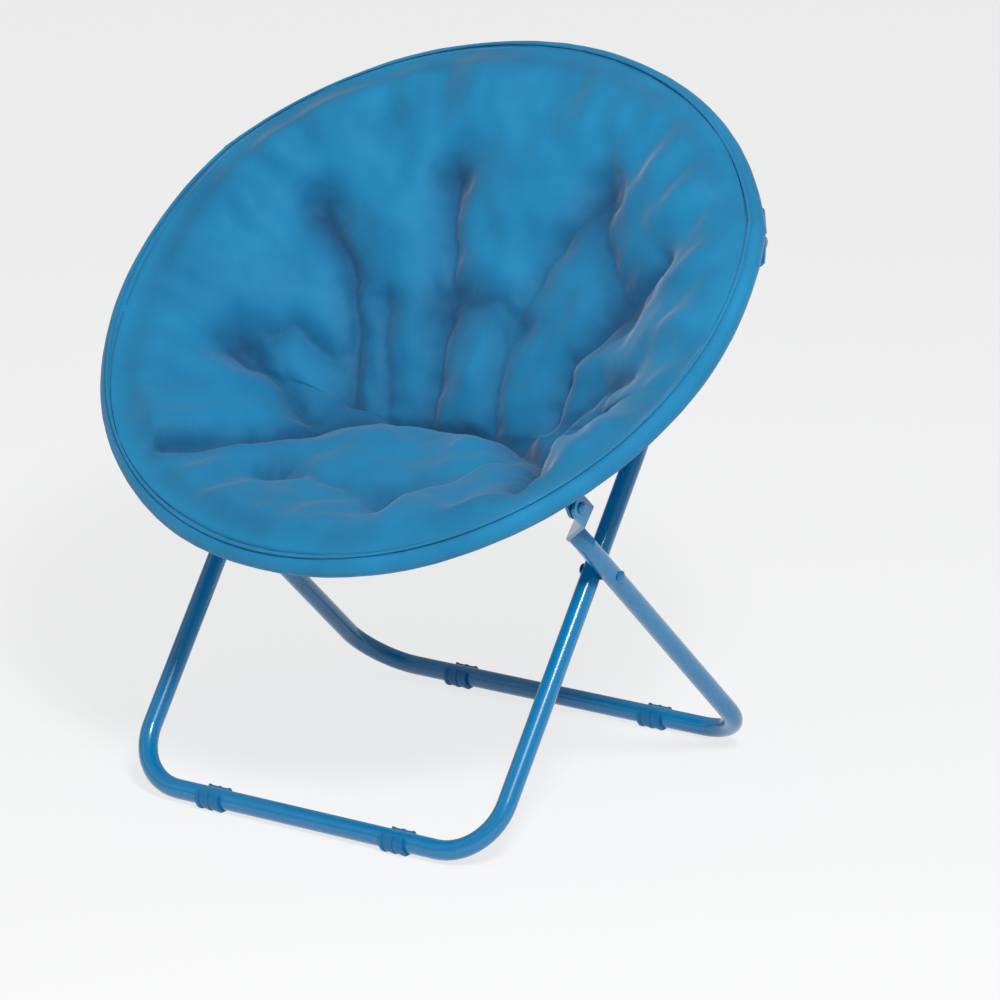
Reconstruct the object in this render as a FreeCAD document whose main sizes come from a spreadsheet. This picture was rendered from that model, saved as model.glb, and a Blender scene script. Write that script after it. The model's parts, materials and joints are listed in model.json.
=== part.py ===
import FreeCAD, Part
import math
import os
import Sketcher

# Folding saucer chair: two crossing U-shaped tube legs under a tilted hoop, which is hinged in two
# halves and carries a padded cloth bowl. Millimetres. X runs to the sitter's left, the front faces
# -Y and the floor is Z = 0 under the middle of the chair.

Vector = FreeCAD.Vector

# Driving sizes: alias, value, what it is.
SIZES = (
    ("tube_dia", 22.0, "outside diameter of every tube"),
    ("tube_wall", 1.2, "wall of every tube"),
    ("arm_inset", 138.0, "centre line of a front arm inside the hoop's radius"),
    ("corner_radius", 65.0, "bend at each end of a floor bar, on the centre line"),
    ("front_bar_reach", 232.0, "front floor bar ahead of the middle"),
    ("rear_bar_reach", 260.0, "rear floor bar behind the middle"),
    ("bar_height", 13.5, "centre line of the floor bars above the floor"),
    ("front_lean", 52.3, "front arms above level, degrees"),
    ("rear_lean", 43.16, "rear arms above level, degrees"),
    ("bend_start", 500.0, "straight run of a front arm up to its upper bend"),
    ("bend_radius", 300.0, "upper bend of a front arm"),
    ("hoop_tilt", 37.84, "plane of the hoop above level, degrees"),
    ("hoop_height", 543.8, "middle of the hoop above the floor"),
    ("hoop_radius", 377.0, "front half of the hoop, on the centre line"),
    ("hoop_reach", 362.0, "middle of the hoop to its front and to its back, along the slope"),
    ("hinge_reach", 160.0, "middle of the hoop back to its hinges, along the slope"),
    ("hinge_drop", 22.0, "hinge pin below the centre line of the hoop"),
    ("hoop_gap", 1.3, "each half of the hoop ends this far before its hinges"),
    ("ear_drop", 30.0, "leg pivots below the centre line of the hoop"),
    ("back_ear_reach", 240.0, "middle of the hoop back to the pivots of the front arms"),
    ("ear_inset", 8.0, "ear plate inside the centre line of the hoop"),
    ("washer_dia", 24.0, "plastic washer of an ear pivot"),
    ("ear_plate", 3.6, "thickness of an ear"),
    ("ear_radius", 13.0, "round end of an ear and of a flattened arm"),
    ("ear_top_half", 9.0, "half width of an ear where it meets the tube"),
    ("tab_plate", 4.0, "flattened end of an arm, both walls together"),
    ("flat_length", 95.0, "pivot back to where an arm starts to flatten"),
    ("squeeze_length", 30.0, "run over which the tube goes flat"),
    ("jog_length", 40.0, "run over which a flat end steps outwards"),
    ("tab_straight", 20.0, "straight flat end before the pivot"),
    ("arm_gap", 3.0, "between the front and the rear arms at the cross pivots"),
    ("spacer_dia", 15.0, "cross pivot spacer"),
    ("washer_plate", 1.6, "plastic washer between an ear and an arm"),
    ("side_play", 0.3, "play on each side of a washer or spacer"),
    ("rivet_dia", 6.0, "shank of the arm rivets"),
    ("rivet_head_dia", 13.0, "head of the arm rivets"),
    ("rivet_head_height", 3.2, "height of a rivet head"),
    ("rivet_fit", 0.05, "radial clearance of every shank in its hole"),
    ("hinge_pin_dia", 5.0, "hoop hinge pin"),
    ("hinge_head_dia", 9.0, "head of the hoop hinge pin"),
    ("hinge_head_height", 1.9, "height of the head of a hinge pin"),
    ("knuckle_radius", 7.5, "round end of the hinge leaves"),
    ("cheek_plate", 2.5, "each cheek of the hinge fork"),
    ("tongue_plate", 3.0, "hinge tongue"),
    ("leaf_reach", 3.4, "hinge foot begins this far from the hinge line"),
    ("leaf_length", 34.0, "hinge foot along the hoop"),
    ("leaf_nose", 6.0, "round end of a hinge foot beyond its length"),
    ("leaf_width", 20.0, "hinge foot across the hoop"),
    ("leaf_plate", 3.0, "hinge foot thickness"),
    ("knuckle_near", 5.3, "upright leaf begins this far from its pin, where it meets the foot"),
    ("knuckle_far", 13.5, "upright leaf ends this far from its pin"),
    ("knuckle_root", 1.2, "upright leaf runs this far into its foot"),
    ("weld_gap", 0.15, "welded plates to the tube that carries them"),
    ("sleeve_dia", 26.0, "outside of the cloth sleeve round the hoop"),
    ("cloth_gap", 0.3, "cloth to what it lies on"),
    ("slit_play", 1.0, "slit of the sleeve round an ear"),
    ("notch_play", 3.0, "opening of the sleeve beside a hinge foot"),
    ("notch_length", 48.6, "opening of the sleeve along the hoop at a hinge"),
    ("notch_depth", 5.5, "opening of the sleeve starts this far below the centre line"),
    ("piping_dia", 3.0, "piping sewn between the sleeve and the pad"),
    ("piping_inset", 0.5, "piping inside the centre line of the hoop, on top of the sleeve"),
    ("bowl_depth", 170.0, "deepest line of the bowl below the hoop plane"),
    ("crease_reach", 65.0, "crease of seat and back, ahead of the middle of the hoop"),
    ("pad_edge_top", 8.0, "upper edge of the pad above the hoop plane"),
    ("pad_edge_drop", 9.0, "lower edge of the pad below the hoop plane"),
    ("pad_edge_inset", 0.2, "upper edge of the pad inside the sleeve"),
    ("pad_under_inset", 19.0, "lower edge of the pad inside the centre line of the hoop"),
    ("pad_thickness", 16.0, "padding along the middle of the bowl"),
    ("tuft_depth", 4.5, "sewn tufts pull in the top of the pad"),
    ("tuft_radius", 30.0, "round of a tuft's hollow"),
    ("clip_width", 30.0, "floor clip along its bar"),
    ("clip_wall", 3.1, "wall of a floor clip"),
    ("clip_rib", 0.8, "ribs round a floor clip"),
    ("clip_rib_width", 4.0, "one rib along the bar"),
    ("clip_grip", 0.15, "clip to its bar"),
    ("front_clip_place", 124.0, "middle to a front floor clip"),
    ("rear_clip_place", 135.0, "middle to a rear floor clip"),
)

# Sewn tufts of the quilting: across, and along the slope from the middle of the hoop.
SEAT_TUFTS = ((-226.0, 130.0), (-258.0, -53.0), (-45.0, 77.0), (209.0, 77.0), (-102.0, -225.0),
              (64.0, -241.0), (236.0, -212.0))
BACK_TUFTS = ((-80.0, 205.0), (128.0, 205.0))

# Sections of the bowl along the slope, as shares of the run from the hoop to the crease.
SEAT_SECTIONS = (0.008, 0.03, 0.08, 0.17, 0.33, 0.55, 0.78, 1.0)
LOWER_BACK_SECTIONS = (0.0, 0.3, 0.65, 1.0)
UPPER_BACK_SECTIONS = (0.0, 0.3, 0.57, 0.79, 0.92, 0.97, 0.992)
SEAT_SAG = 0.85
BACK_SAG = 1.1

CLIP_OPENING = 50.0         # half of a clip's open side, degrees
CLIP_RIBS = 3
PIVOT_HOLE_REACH = 40.0     # drill through one arm only
SQUEEZE_SPLIT = 20.0        # corners of a flattened end on the round section, degrees
HEAD_RIM = 0.35             # straight rim of a rivet head, as a share of its height
DOME_RISE = 0.72            # middle of a head's dome, as a share of the dome's height
DOME_REACH = 0.7            # the same, as a share of the head's radius
DOME_FLAT = 0.15            # flat on top of a dome, as a share of the head's radius

doc = FreeCAD.newDocument("FoldingSaucerChair")


def make_sheet(name, rows):
    """Put the rows on a spreadsheet and give each value its alias."""
    sheet = doc.addObject("Spreadsheet::Sheet", name)
    for number, (alias, value, note) in enumerate(rows, start=1):
        sheet.set("A%d" % number, alias)
        sheet.set("B%d" % number, repr(float(value)))
        sheet.set("C%d" % number, note)
        sheet.setAlias("B%d" % number, alias)
    doc.recompute()
    return {alias: float(sheet.get(alias)) for alias, value, note in rows}


size = make_sheet("Sizes", SIZES)


def slope_point(along, above=0.0):
    """(y, z) of a point of the hoop's plane, by its place along the slope and above the plane."""
    tilt = math.radians(size["hoop_tilt"])
    y = along * math.cos(tilt) - above * math.sin(tilt)
    z = size["hoop_height"] + along * math.sin(tilt) + above * math.cos(tilt)
    return y, z


def crossing(first, first_angle, second, second_angle):
    """Distances along two lines of the (y, z) plane to the point where they cross."""
    first_y, first_z = math.cos(first_angle), math.sin(first_angle)
    second_y, second_z = math.cos(second_angle), math.sin(second_angle)
    gap_y, gap_z = second[0] - first[0], second[1] - first[1]
    turn = second_y * first_z - first_y * second_z
    along_first = (second_y * gap_z - second_z * gap_y) / turn
    along_second = (first_y * gap_z - first_z * gap_y) / turn
    return along_first, along_second


def work_out():
    """Places that follow from the driving sizes."""
    front_foot = (-size["front_bar_reach"], size["bar_height"])
    rear_foot = (size["rear_bar_reach"], size["bar_height"])
    front_angle = math.radians(size["front_lean"])
    rear_angle = math.radians(180.0 - size["rear_lean"])
    to_cross_front, to_cross_rear = crossing(front_foot, front_angle, rear_foot, rear_angle)
    ear_line = slope_point(0.0, -size["ear_drop"])
    tilt = math.radians(size["hoop_tilt"])
    rear_length, front_ear_reach = crossing(rear_foot, rear_angle, ear_line, tilt)
    bend_y = front_foot[0] + size["bend_start"] * math.cos(front_angle)
    bend_z = front_foot[1] + size["bend_start"] * math.sin(front_angle)
    back_y, back_z = slope_point(size["back_ear_reach"], -size["ear_drop"])
    upper_angle = math.atan2(back_z - bend_z, back_y - bend_y)
    front_half_width = size["hoop_radius"] - size["arm_inset"]
    rear_half_width = front_half_width + size["tube_dia"] + size["arm_gap"]
    reach, hinge = size["hoop_reach"], size["hinge_reach"]
    front_centre = size["hoop_radius"] - reach
    hinge_x = math.sqrt(size["hoop_radius"] ** 2 - (hinge - front_centre) ** 2)
    back_centre = (hinge_x ** 2 + hinge ** 2 - reach ** 2) / (2.0 * (hinge - reach))
    rows = (
        ("front_half_width", front_half_width, "middle to the centre line of a front arm"),
        ("rear_half_width", rear_half_width, "middle to the centre line of a rear arm"),
        ("cross_on_front", to_cross_front, "front bar to the cross pivot along the arm"),
        ("cross_on_rear", to_cross_rear, "rear bar to the cross pivot along the arm"),
        ("rear_length", rear_length, "rear bar to the upper pivot along the arm"),
        ("front_ear_reach", front_ear_reach, "middle of the hoop to the pivots of the rear arms"),
        ("upper_length", math.hypot(back_y - bend_y, back_z - bend_z), "bend to the upper pivot"),
        ("upper_turn", math.degrees(upper_angle - front_angle), "turn of the upper bend"),
        ("front_centre", front_centre, "centre of the front arc behind the middle"),
        ("back_centre", back_centre, "centre of the back arc behind the middle"),
        ("back_radius", reach - back_centre, "back half of the hoop, on the centre line"),
        ("hinge_x", hinge_x, "middle to a hinge"),
    )
    return make_sheet("Worked", rows)


worked = work_out()

HALF_TUBE = size["tube_dia"] / 2.0
INNER_TUBE = HALF_TUBE - size["tube_wall"]


def hoop_half_width(along, inset=0.0):
    """Half width of the hoop at a place along the slope, moved in by an inset."""
    if along < size["hinge_reach"]:
        radius, centre = size["hoop_radius"], worked["front_centre"]
    else:
        radius, centre = worked["back_radius"], worked["back_centre"]
    return math.sqrt(max((radius - inset) ** 2 - (along - centre) ** 2, 0.0))


def hoop_frame():
    """Placement whose X, Y and Z are across, along the slope and out of the hoop's plane."""
    turn = FreeCAD.Rotation(Vector(1, 0, 0), size["hoop_tilt"])
    return FreeCAD.Placement(Vector(0, 0, size["hoop_height"]), turn)


def new_body(name, placement):
    """A body at its placement."""
    body = doc.addObject("PartDesign::Body", name)
    body.Label = name
    body.Placement = placement
    return body


def origin_part(body, role):
    """A plane or an axis of the body's origin."""
    return next(item for item in body.Origin.OriginFeatures if item.Role == role)


def new_sketch(body, name, origin=(0, 0, 0), x_dir=(1, 0, 0), y_dir=(0, 1, 0)):
    """A sketch on the body's XY plane, moved and turned to its own axes."""
    sketch = body.newObject("Sketcher::SketchObject", name)
    sketch.AttachmentSupport = (origin_part(body, "XY_Plane"), "")
    sketch.MapMode = "FlatFace"
    x_axis, y_axis = Vector(*x_dir), Vector(*y_dir)
    turn = FreeCAD.Rotation(x_axis, y_axis, x_axis.cross(y_axis), "ZXY")
    sketch.AttachmentOffset = FreeCAD.Placement(Vector(*origin), turn)
    return sketch


def draw(sketch, start, *steps, closed=True):
    """Draw lines to points, and arcs where a step is a pair: through, to."""
    here = Vector(start[0], start[1], 0)
    first = here
    for step in steps:
        if isinstance(step[0], tuple):
            through, there = Vector(*step[0], 0), Vector(*step[1], 0)
            sketch.addGeometry(Part.Arc(here, through, there), False)
        else:
            there = Vector(*step, 0)
            sketch.addGeometry(Part.LineSegment(here, there), False)
        here = there
    if closed:
        sketch.addGeometry(Part.LineSegment(here, first), False)


def draw_circle(sketch, centre, radius, formula):
    """A circle whose radius is bound to the sheet."""
    circle = sketch.addGeometry(Part.Circle(Vector(*centre, 0), Vector(0, 0, 1), radius), False)
    constraint = sketch.addConstraint(Sketcher.Constraint("Radius", circle, radius))
    sketch.setExpression("Constraints[%d]" % constraint, formula)


def draw_tube_ring(sketch, outer_formula="Sizes.tube_dia / 2",
                   inner_formula="Sizes.tube_dia / 2 - Sizes.tube_wall",
                   outer=HALF_TUBE, inner=INNER_TUBE):
    """The ring section of a tube."""
    draw_circle(sketch, (0, 0), outer, outer_formula)
    draw_circle(sketch, (0, 0), inner, inner_formula)


def pipe(body, name, profile, spine):
    """Sweep the profile along every edge of the spine sketch."""
    doc.recompute()
    sweep = body.newObject("PartDesign::AdditivePipe", name)
    sweep.Profile = profile
    sweep.Spine = (spine, ["Edge%d" % (n + 1) for n in range(len(spine.Shape.Edges))])
    return sweep


def pad(body, name, sketch, length, formula, middle=True, reverse=False):
    """Extrude a sketch, with its length bound to the sheet."""
    feature = body.newObject("PartDesign::Pad", name)
    feature.Profile = sketch
    feature.Length = length
    feature.setExpression("Length", formula)
    feature.Midplane = middle
    feature.Reversed = reverse
    return feature


def pocket(body, name, sketch, length=None, middle=True, reverse=False):
    """Cut a sketch out of the body, and make sure that it cuts."""
    doc.recompute()
    before = body.Shape.Volume
    feature = body.newObject("PartDesign::Pocket", name)
    feature.Profile = sketch
    feature.Midplane = middle
    feature.Reversed = reverse
    if length is None:
        feature.Type = "ThroughAll"
    else:
        feature.Length = length
    doc.recompute()
    if body.Shape.Volume >= before:
        raise RuntimeError("%s cuts nothing" % name)
    return feature


def mirror_sides(body):
    """Repeat the half that is made so far on the other side of the middle plane."""
    doc.recompute()
    mirrored = body.newObject("PartDesign::Mirrored", body.Name + "_both_sides")
    mirrored.TransformMode = "Whole shape"
    mirrored.MirrorPlane = (origin_part(body, "YZ_Plane"), [""])
    body.Tip = mirrored
    doc.recompute()


def mirror_part(label, source):
    """The other side's copy of a piece."""
    copy = doc.addObject("Part::Mirroring", label)
    copy.Label = label
    copy.Source = source
    copy.Normal = Vector(1, 0, 0)
    return copy


def strip_outline(points, thickness):
    """Outline of a bent plate about its middle line, mitred at the bends."""
    angles = [math.atan2(there[1] - here[1], there[0] - here[0])
              for here, there in zip(points, points[1:])]
    left, right = [], []
    for (x, y), before, after in zip(points, angles[:1] + angles, angles + angles[-1:]):
        middle = (before + after) / 2.0
        reach = thickness / 2.0 / math.cos((after - before) / 2.0)
        step_x, step_y = -math.sin(middle) * reach, math.cos(middle) * reach
        left.append((x + step_x, y + step_y))
        right.append((x - step_x, y - step_y))
    return left + right[::-1]


# Legs

def add_arm_end(body, name, frame, arm_x, length, tab_x):
    """Flatten the top of an arm, step it outwards and round its pierced end."""
    def place(x, y, z):
        return tuple(frame.multVec(Vector(x, y, z)))

    def direction(x, y, z):
        return tuple(frame.Rotation.multVec(Vector(x, y, z)))

    width = 2.0 * size["ear_radius"]
    squeeze = length - size["flat_length"]
    flat = squeeze + size["squeeze_length"]
    half_plate = size["tab_plate"] / 2.0
    across, outwards, along = direction(0, 0, 1), direction(1, 0, 0), direction(0, 1, 0)

    round_end = new_sketch(body, name + "_round", place(arm_x, squeeze, 0), across, outwards)
    split_x = HALF_TUBE * math.cos(math.radians(SQUEEZE_SPLIT))
    split_y = HALF_TUBE * math.sin(math.radians(SQUEEZE_SPLIT))
    draw(round_end, (split_x, split_y), ((0, HALF_TUBE), (-split_x, split_y)),
         ((-HALF_TUBE, 0), (-split_x, -split_y)), ((0, -HALF_TUBE), (split_x, -split_y)),
         ((HALF_TUBE, 0), (split_x, split_y)), closed=False)
    flat_end = new_sketch(body, name + "_flat", place(arm_x, flat, 0), across, outwards)
    side = width / 2.0 - half_plate
    draw(flat_end, (side, half_plate), (-side, half_plate), ((-width / 2.0, 0), (-side, -half_plate)),
         (side, -half_plate), ((width / 2.0, 0), (side, half_plate)), closed=False)
    doc.recompute()
    squeezed = body.newObject("PartDesign::AdditiveLoft", name + "_squeeze")
    squeezed.Profile = round_end
    squeezed.Sections = [flat_end]

    jog_end = length - size["tab_straight"]
    middle_line = [(arm_x, flat), (arm_x, jog_end - size["jog_length"]), (tab_x, jog_end),
                   (tab_x, length + size["ear_radius"])]
    outline = strip_outline(middle_line, size["tab_plate"])
    plate_sketch = new_sketch(body, name + "_plate", place(0, 0, 0), outwards, along)
    draw(plate_sketch, outline[0], *outline[1:])
    pad(body, name + "_tab", plate_sketch, width, "2 * Sizes.ear_radius")

    radius = size["ear_radius"]
    spare = radius + 1.0
    corner = new_sketch(body, name + "_corner", place(0, 0, 0), along, across)
    draw(corner, (length, radius), (length, spare), (length + spare, spare),
         (length + spare, -spare), (length, -spare), (length, -radius),
         ((length + radius, 0), (length, radius)), closed=False)
    pocket(body, name + "_rounding", corner)
    hole_sketch = new_sketch(body, name + "_hole", place(tab_x, 0, 0), along, across)
    draw_circle(hole_sketch, (length, 0), size["rivet_dia"] / 2.0 + size["rivet_fit"],
                "Sizes.rivet_dia / 2 + Sizes.rivet_fit")
    pocket(body, name + "_pivot", hole_sketch, PIVOT_HOLE_REACH)


def cross_hole(body, name, arm_x, along):
    """Hole of the cross pivot through both walls of an arm."""
    sketch = new_sketch(body, name, (arm_x, along, 0), (0, 1, 0), (0, 0, 1))
    draw_circle(sketch, (0, 0), size["rivet_dia"] / 2.0 + size["rivet_fit"],
                "Sizes.rivet_dia / 2 + Sizes.rivet_fit")
    pocket(body, name + "_drill", sketch, PIVOT_HOLE_REACH)


def leg_tube(body, arm_x, top):
    """Half of a U: floor bar, corner and arm."""
    radius = size["corner_radius"]
    turn = radius * math.sqrt(0.5)
    path = new_sketch(body, body.Name + "_path")
    draw(path, (0, 0), (arm_x - radius, 0),
         ((arm_x - radius + turn, radius - turn), (arm_x, radius)), (arm_x, top), closed=False)
    ring = new_sketch(body, body.Name + "_ring", (0, 0, 0), (0, 1, 0), (0, 0, 1))
    draw_tube_ring(ring)
    pipe(body, body.Name + "_tube", ring, path)


def leg_placement(reach, angle):
    """Placement of a leg frame: Y runs up its arms from its floor bar."""
    turn = FreeCAD.Rotation(Vector(1, 0, 0), angle)
    return FreeCAD.Placement(Vector(0, reach, size["bar_height"]), turn)


def ear_x(along):
    """Middle of an ear plate across the chair."""
    return hoop_half_width(along) - size["ear_inset"]


def tab_x(along):
    """Middle of the flattened arm beside that ear."""
    play = 2.0 * size["side_play"] + size["washer_plate"]
    return ear_x(along) + (size["ear_plate"] + size["tab_plate"]) / 2.0 + play


def make_rear_legs():
    """Rear U, whose arms run up to the front half of the hoop."""
    body = new_body("rear_leg_frame", leg_placement(size["rear_bar_reach"],
                                                    180.0 - size["rear_lean"]))
    body.setExpression("Placement.Base.y", "Sizes.rear_bar_reach")
    body.setExpression("Placement.Base.z", "Sizes.bar_height")
    arm_x, length = worked["rear_half_width"], worked["rear_length"]
    leg_tube(body, arm_x, length - size["flat_length"])
    add_arm_end(body, "rear_arm", FreeCAD.Placement(), arm_x, length,
                tab_x(worked["front_ear_reach"]))
    cross_hole(body, "rear_cross", arm_x, worked["cross_on_rear"])
    mirror_sides(body)
    return body


def make_front_legs():
    """Front U, whose arms bend a little steeper up to the back half of the hoop."""
    body = new_body("front_leg_frame", leg_placement(-size["front_bar_reach"], size["front_lean"]))
    body.setExpression("Placement.Base.y", "-Sizes.front_bar_reach")
    body.setExpression("Placement.Base.z", "Sizes.bar_height")
    arm_x, turn = worked["front_half_width"], math.radians(worked["upper_turn"])
    tangent = size["bend_radius"] * math.tan(turn / 2.0)
    bend_from = size["bend_start"] - tangent
    leg_tube(body, arm_x, bend_from)

    radius = size["bend_radius"]
    bend_to = (radius * math.sin(turn), radius * (1.0 - math.cos(turn)))
    bend_mid = (radius * math.sin(turn / 2.0), radius * (1.0 - math.cos(turn / 2.0)))
    straight = worked["upper_length"] - size["flat_length"] - tangent
    top = (bend_to[0] + straight * math.cos(turn), bend_to[1] + straight * math.sin(turn))
    path = new_sketch(body, "upper_path", (arm_x, bend_from, 0), (0, 1, 0), (0, 0, 1))
    draw(path, (0, 0), (bend_mid, bend_to), top, closed=False)
    ring = new_sketch(body, "upper_ring", (arm_x, bend_from, 0), (0, 0, 1), (1, 0, 0))
    draw_tube_ring(ring)
    pipe(body, "upper_tube", ring, path)

    frame = FreeCAD.Placement(Vector(0, size["bend_start"], 0),
                              FreeCAD.Rotation(Vector(1, 0, 0), worked["upper_turn"]))
    add_arm_end(body, "front_arm", frame, arm_x, worked["upper_length"],
                tab_x(size["back_ear_reach"]))
    cross_hole(body, "front_cross", arm_x, worked["cross_on_front"])
    mirror_sides(body)
    return body


# Rivets, spacers and washers

def make_rivet(label, place, head_dia, head_height, shank, shank_formula, grip,
               inner_head=True, outer_head=True):
    """A rivet along X with domed heads; an end without a head is cut flat."""
    body = new_body(label, FreeCAD.Placement(place, FreeCAD.Rotation()))
    sketch = new_sketch(body, label + "_half")
    half, head = grip / 2.0, head_dia / 2.0
    rim = half + head_height * HEAD_RIM
    tip = half + head_height
    flat = head * DOME_FLAT
    dome = (rim + (tip - rim) * DOME_RISE, head * DOME_REACH)
    steps = [(half, shank)]
    if inner_head:
        start = (-tip, 0)
        steps = [(-tip, flat), ((-dome[0], dome[1]), (-rim, head)), (-half, head),
                 (-half, shank)] + steps
    else:
        start = (-half, 0)
        steps = [(-half, shank)] + steps
    shank_line = len(steps) - 1
    if outer_head:
        steps += [(half, head), (rim, head), (dome, (tip, flat)), (tip, 0)]
    else:
        steps += [(half, 0)]
    draw(sketch, start, *steps)
    width = sketch.addConstraint(Sketcher.Constraint("DistanceY", -1, 1, shank_line, 1, shank))
    sketch.setExpression("Constraints[%d]" % width, shank_formula)
    turned = body.newObject("PartDesign::Revolution", label + "_turned")
    turned.Profile = sketch
    turned.ReferenceAxis = (sketch, ["H_Axis"])
    turned.Angle = 360.0
    return body


def make_arm_rivet(label, inner, outer, y, z, inner_head=True, outer_head=True):
    """A rivet of the arms between two places across the chair."""
    return make_rivet(label, Vector((inner + outer) / 2.0, y, z), size["rivet_head_dia"],
                      size["rivet_head_height"], size["rivet_dia"] / 2.0, "Sizes.rivet_dia / 2",
                      outer - inner, inner_head, outer_head)


def make_ring(label, place, outer, inner, length, outer_formula, inner_formula, length_formula):
    """A flat ring round the X axis."""
    body = new_body(label, FreeCAD.Placement(place, FreeCAD.Rotation()))
    sketch = new_sketch(body, label + "_ring", (0, 0, 0), (0, 1, 0), (0, 0, 1))
    draw_circle(sketch, (0, 0), outer, outer_formula)
    draw_circle(sketch, (0, 0), inner, inner_formula)
    pad(body, label + "_plate", sketch, length, length_formula)
    return body


RING_HOLE = "Sizes.rivet_dia / 2 + Sizes.rivet_fit"


def make_cross_pivots():
    """Rivet and spacer where the arms cross, on both sides."""
    rear_angle = math.radians(180.0 - size["rear_lean"])
    along = worked["cross_on_rear"]
    y = size["rear_bar_reach"] + along * math.cos(rear_angle)
    z = size["bar_height"] + along * math.sin(rear_angle)
    inner = worked["front_half_width"] - HALF_TUBE - size["side_play"]
    outer = worked["rear_half_width"] + HALF_TUBE + size["side_play"]
    rivet = make_arm_rivet("cross_rivet_left", inner, outer, y, z)
    gap_x = worked["front_half_width"] + HALF_TUBE + size["arm_gap"] / 2.0
    spacer = make_ring("cross_spacer_left", Vector(gap_x, y, z), size["spacer_dia"] / 2.0,
                       size["rivet_dia"] / 2.0 + size["rivet_fit"],
                       size["arm_gap"] - 2.0 * size["side_play"], "Sizes.spacer_dia / 2",
                       RING_HOLE, "Sizes.arm_gap - 2 * Sizes.side_play")
    return [rivet, mirror_part("cross_rivet_right", rivet),
            spacer, mirror_part("cross_spacer_right", spacer)]


def make_ear(which, along):
    """Ear plate under the hoop, hollowed to sit on the tube."""
    radius, drop = size["ear_radius"], size["ear_drop"]
    place = (ear_x(along), along, -drop)
    blank = new_body(which + "_ear_blank", hoop_frame())
    sketch = new_sketch(blank, which + "_ear_outline", place, (0, 1, 0), (0, 0, 1))
    top, top_half = drop - size["tube_wall"], size["ear_top_half"]
    draw(sketch, (top_half, top), (-top_half, top), (-radius, 0), ((0, -radius), (radius, 0)))
    pad(blank, which + "_ear_plate", sketch, size["ear_plate"], "Sizes.ear_plate")
    hole = new_sketch(blank, which + "_ear_hole", place, (0, 1, 0), (0, 0, 1))
    draw_circle(hole, (0, 0), size["rivet_dia"] / 2.0 + size["rivet_fit"], RING_HOLE)
    pocket(blank, which + "_ear_drill", hole)

    relief = doc.addObject("Part::Torus", which + "_ear_relief")
    on_front = along < size["hinge_reach"]
    centre = worked["front_centre"] if on_front else worked["back_centre"]
    relief.setExpression("Radius1", "Sizes.hoop_radius" if on_front else "Worked.back_radius")
    relief.setExpression("Radius2", "Sizes.tube_dia / 2 + Sizes.weld_gap")
    relief.Placement = hoop_frame().multiply(
        FreeCAD.Placement(Vector(0, centre, 0), FreeCAD.Rotation()))
    ear = doc.addObject("Part::Cut", which + "_ear_left")
    ear.Label = which + "_ear_left"
    ear.Base = blank
    ear.Tool = relief
    return ear


def make_ear_pivot(which, along, split):
    """Ear, washer and rivet of one pivot of the hoop, on both sides.

    The back rivet is split where the arm meets the washer: the loop of links is open there.
    """
    y, z = slope_point(along, -size["ear_drop"])
    plate_x, arm_x = ear_x(along), tab_x(along)
    inner = plate_x - size["ear_plate"] / 2.0 - size["side_play"]
    outer = arm_x + size["tab_plate"] / 2.0 + size["side_play"]
    washer_x = plate_x + (size["ear_plate"] + size["washer_plate"]) / 2.0 + size["side_play"]
    washer = make_ring(which + "_ear_washer_left", Vector(washer_x, y, z),
                       size["washer_dia"] / 2.0, size["rivet_dia"] / 2.0 + size["rivet_fit"],
                       size["washer_plate"], "Sizes.washer_dia / 2", RING_HOLE,
                       "Sizes.washer_plate")
    sources = {which + "_ear": make_ear(which, along), which + "_ear_washer": washer}
    if split:
        cut_x = washer_x + size["washer_plate"] / 2.0 + size["side_play"] / 2.0
        sources[which + "_ear_rivet"] = make_arm_rivet(which + "_ear_rivet_left", inner, cut_x,
                                                       y, z, outer_head=False)
        sources[which + "_arm_rivet"] = make_arm_rivet(which + "_arm_rivet_left", cut_x, outer,
                                                       y, z, inner_head=False)
    else:
        sources[which + "_ear_rivet"] = make_arm_rivet(which + "_ear_rivet_left", inner, outer,
                                                       y, z)
    nodes = []
    for name, left in sources.items():
        nodes += [left, mirror_part(name + "_right", left)]
    return nodes


# Hoop and its hinges

def half_arc(sketch, radius, centre, front):
    """The hoop's arc from its front or back end round to the hinge."""
    hinge_angle = math.atan2(size["hinge_reach"] - centre, worked["hinge_x"])
    start_angle = -math.pi / 2.0 if front else math.pi / 2.0
    gap_angle = size["hoop_gap"] / radius
    end_angle = hinge_angle - gap_angle if front else hinge_angle + gap_angle
    middle_angle = (start_angle + end_angle) / 2.0

    def at(angle):
        return radius * math.cos(angle), centre + radius * math.sin(angle)

    draw(sketch, at(start_angle), (at(middle_angle), at(end_angle)), closed=False)


def hoop_sweep(label, front, inset, ring):
    """A body swept from the middle of one half of the hoop to its hinge."""
    body = new_body(label, hoop_frame())
    body.setExpression("Placement.Base.z", "Sizes.hoop_height")
    centre = worked["front_centre"] if front else worked["back_centre"]
    radius = (size["hoop_radius"] if front else worked["back_radius"]) - inset[0]
    path = new_sketch(body, label + "_path", (0, 0, inset[1]))
    half_arc(path, radius, centre, front)
    start = centre - radius if front else centre + radius
    section = new_sketch(body, label + "_section", (0, start, inset[1]), (0, 1, 0), (0, 0, 1))
    ring(section)
    pipe(body, label + "_sweep", section, path)
    return body


def make_hoop(front):
    """Tube of one half of the hoop."""
    label = "front_hoop" if front else "back_hoop"
    body = hoop_sweep(label, front, (0.0, 0.0), draw_tube_ring)
    mirror_sides(body)
    return body


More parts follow.
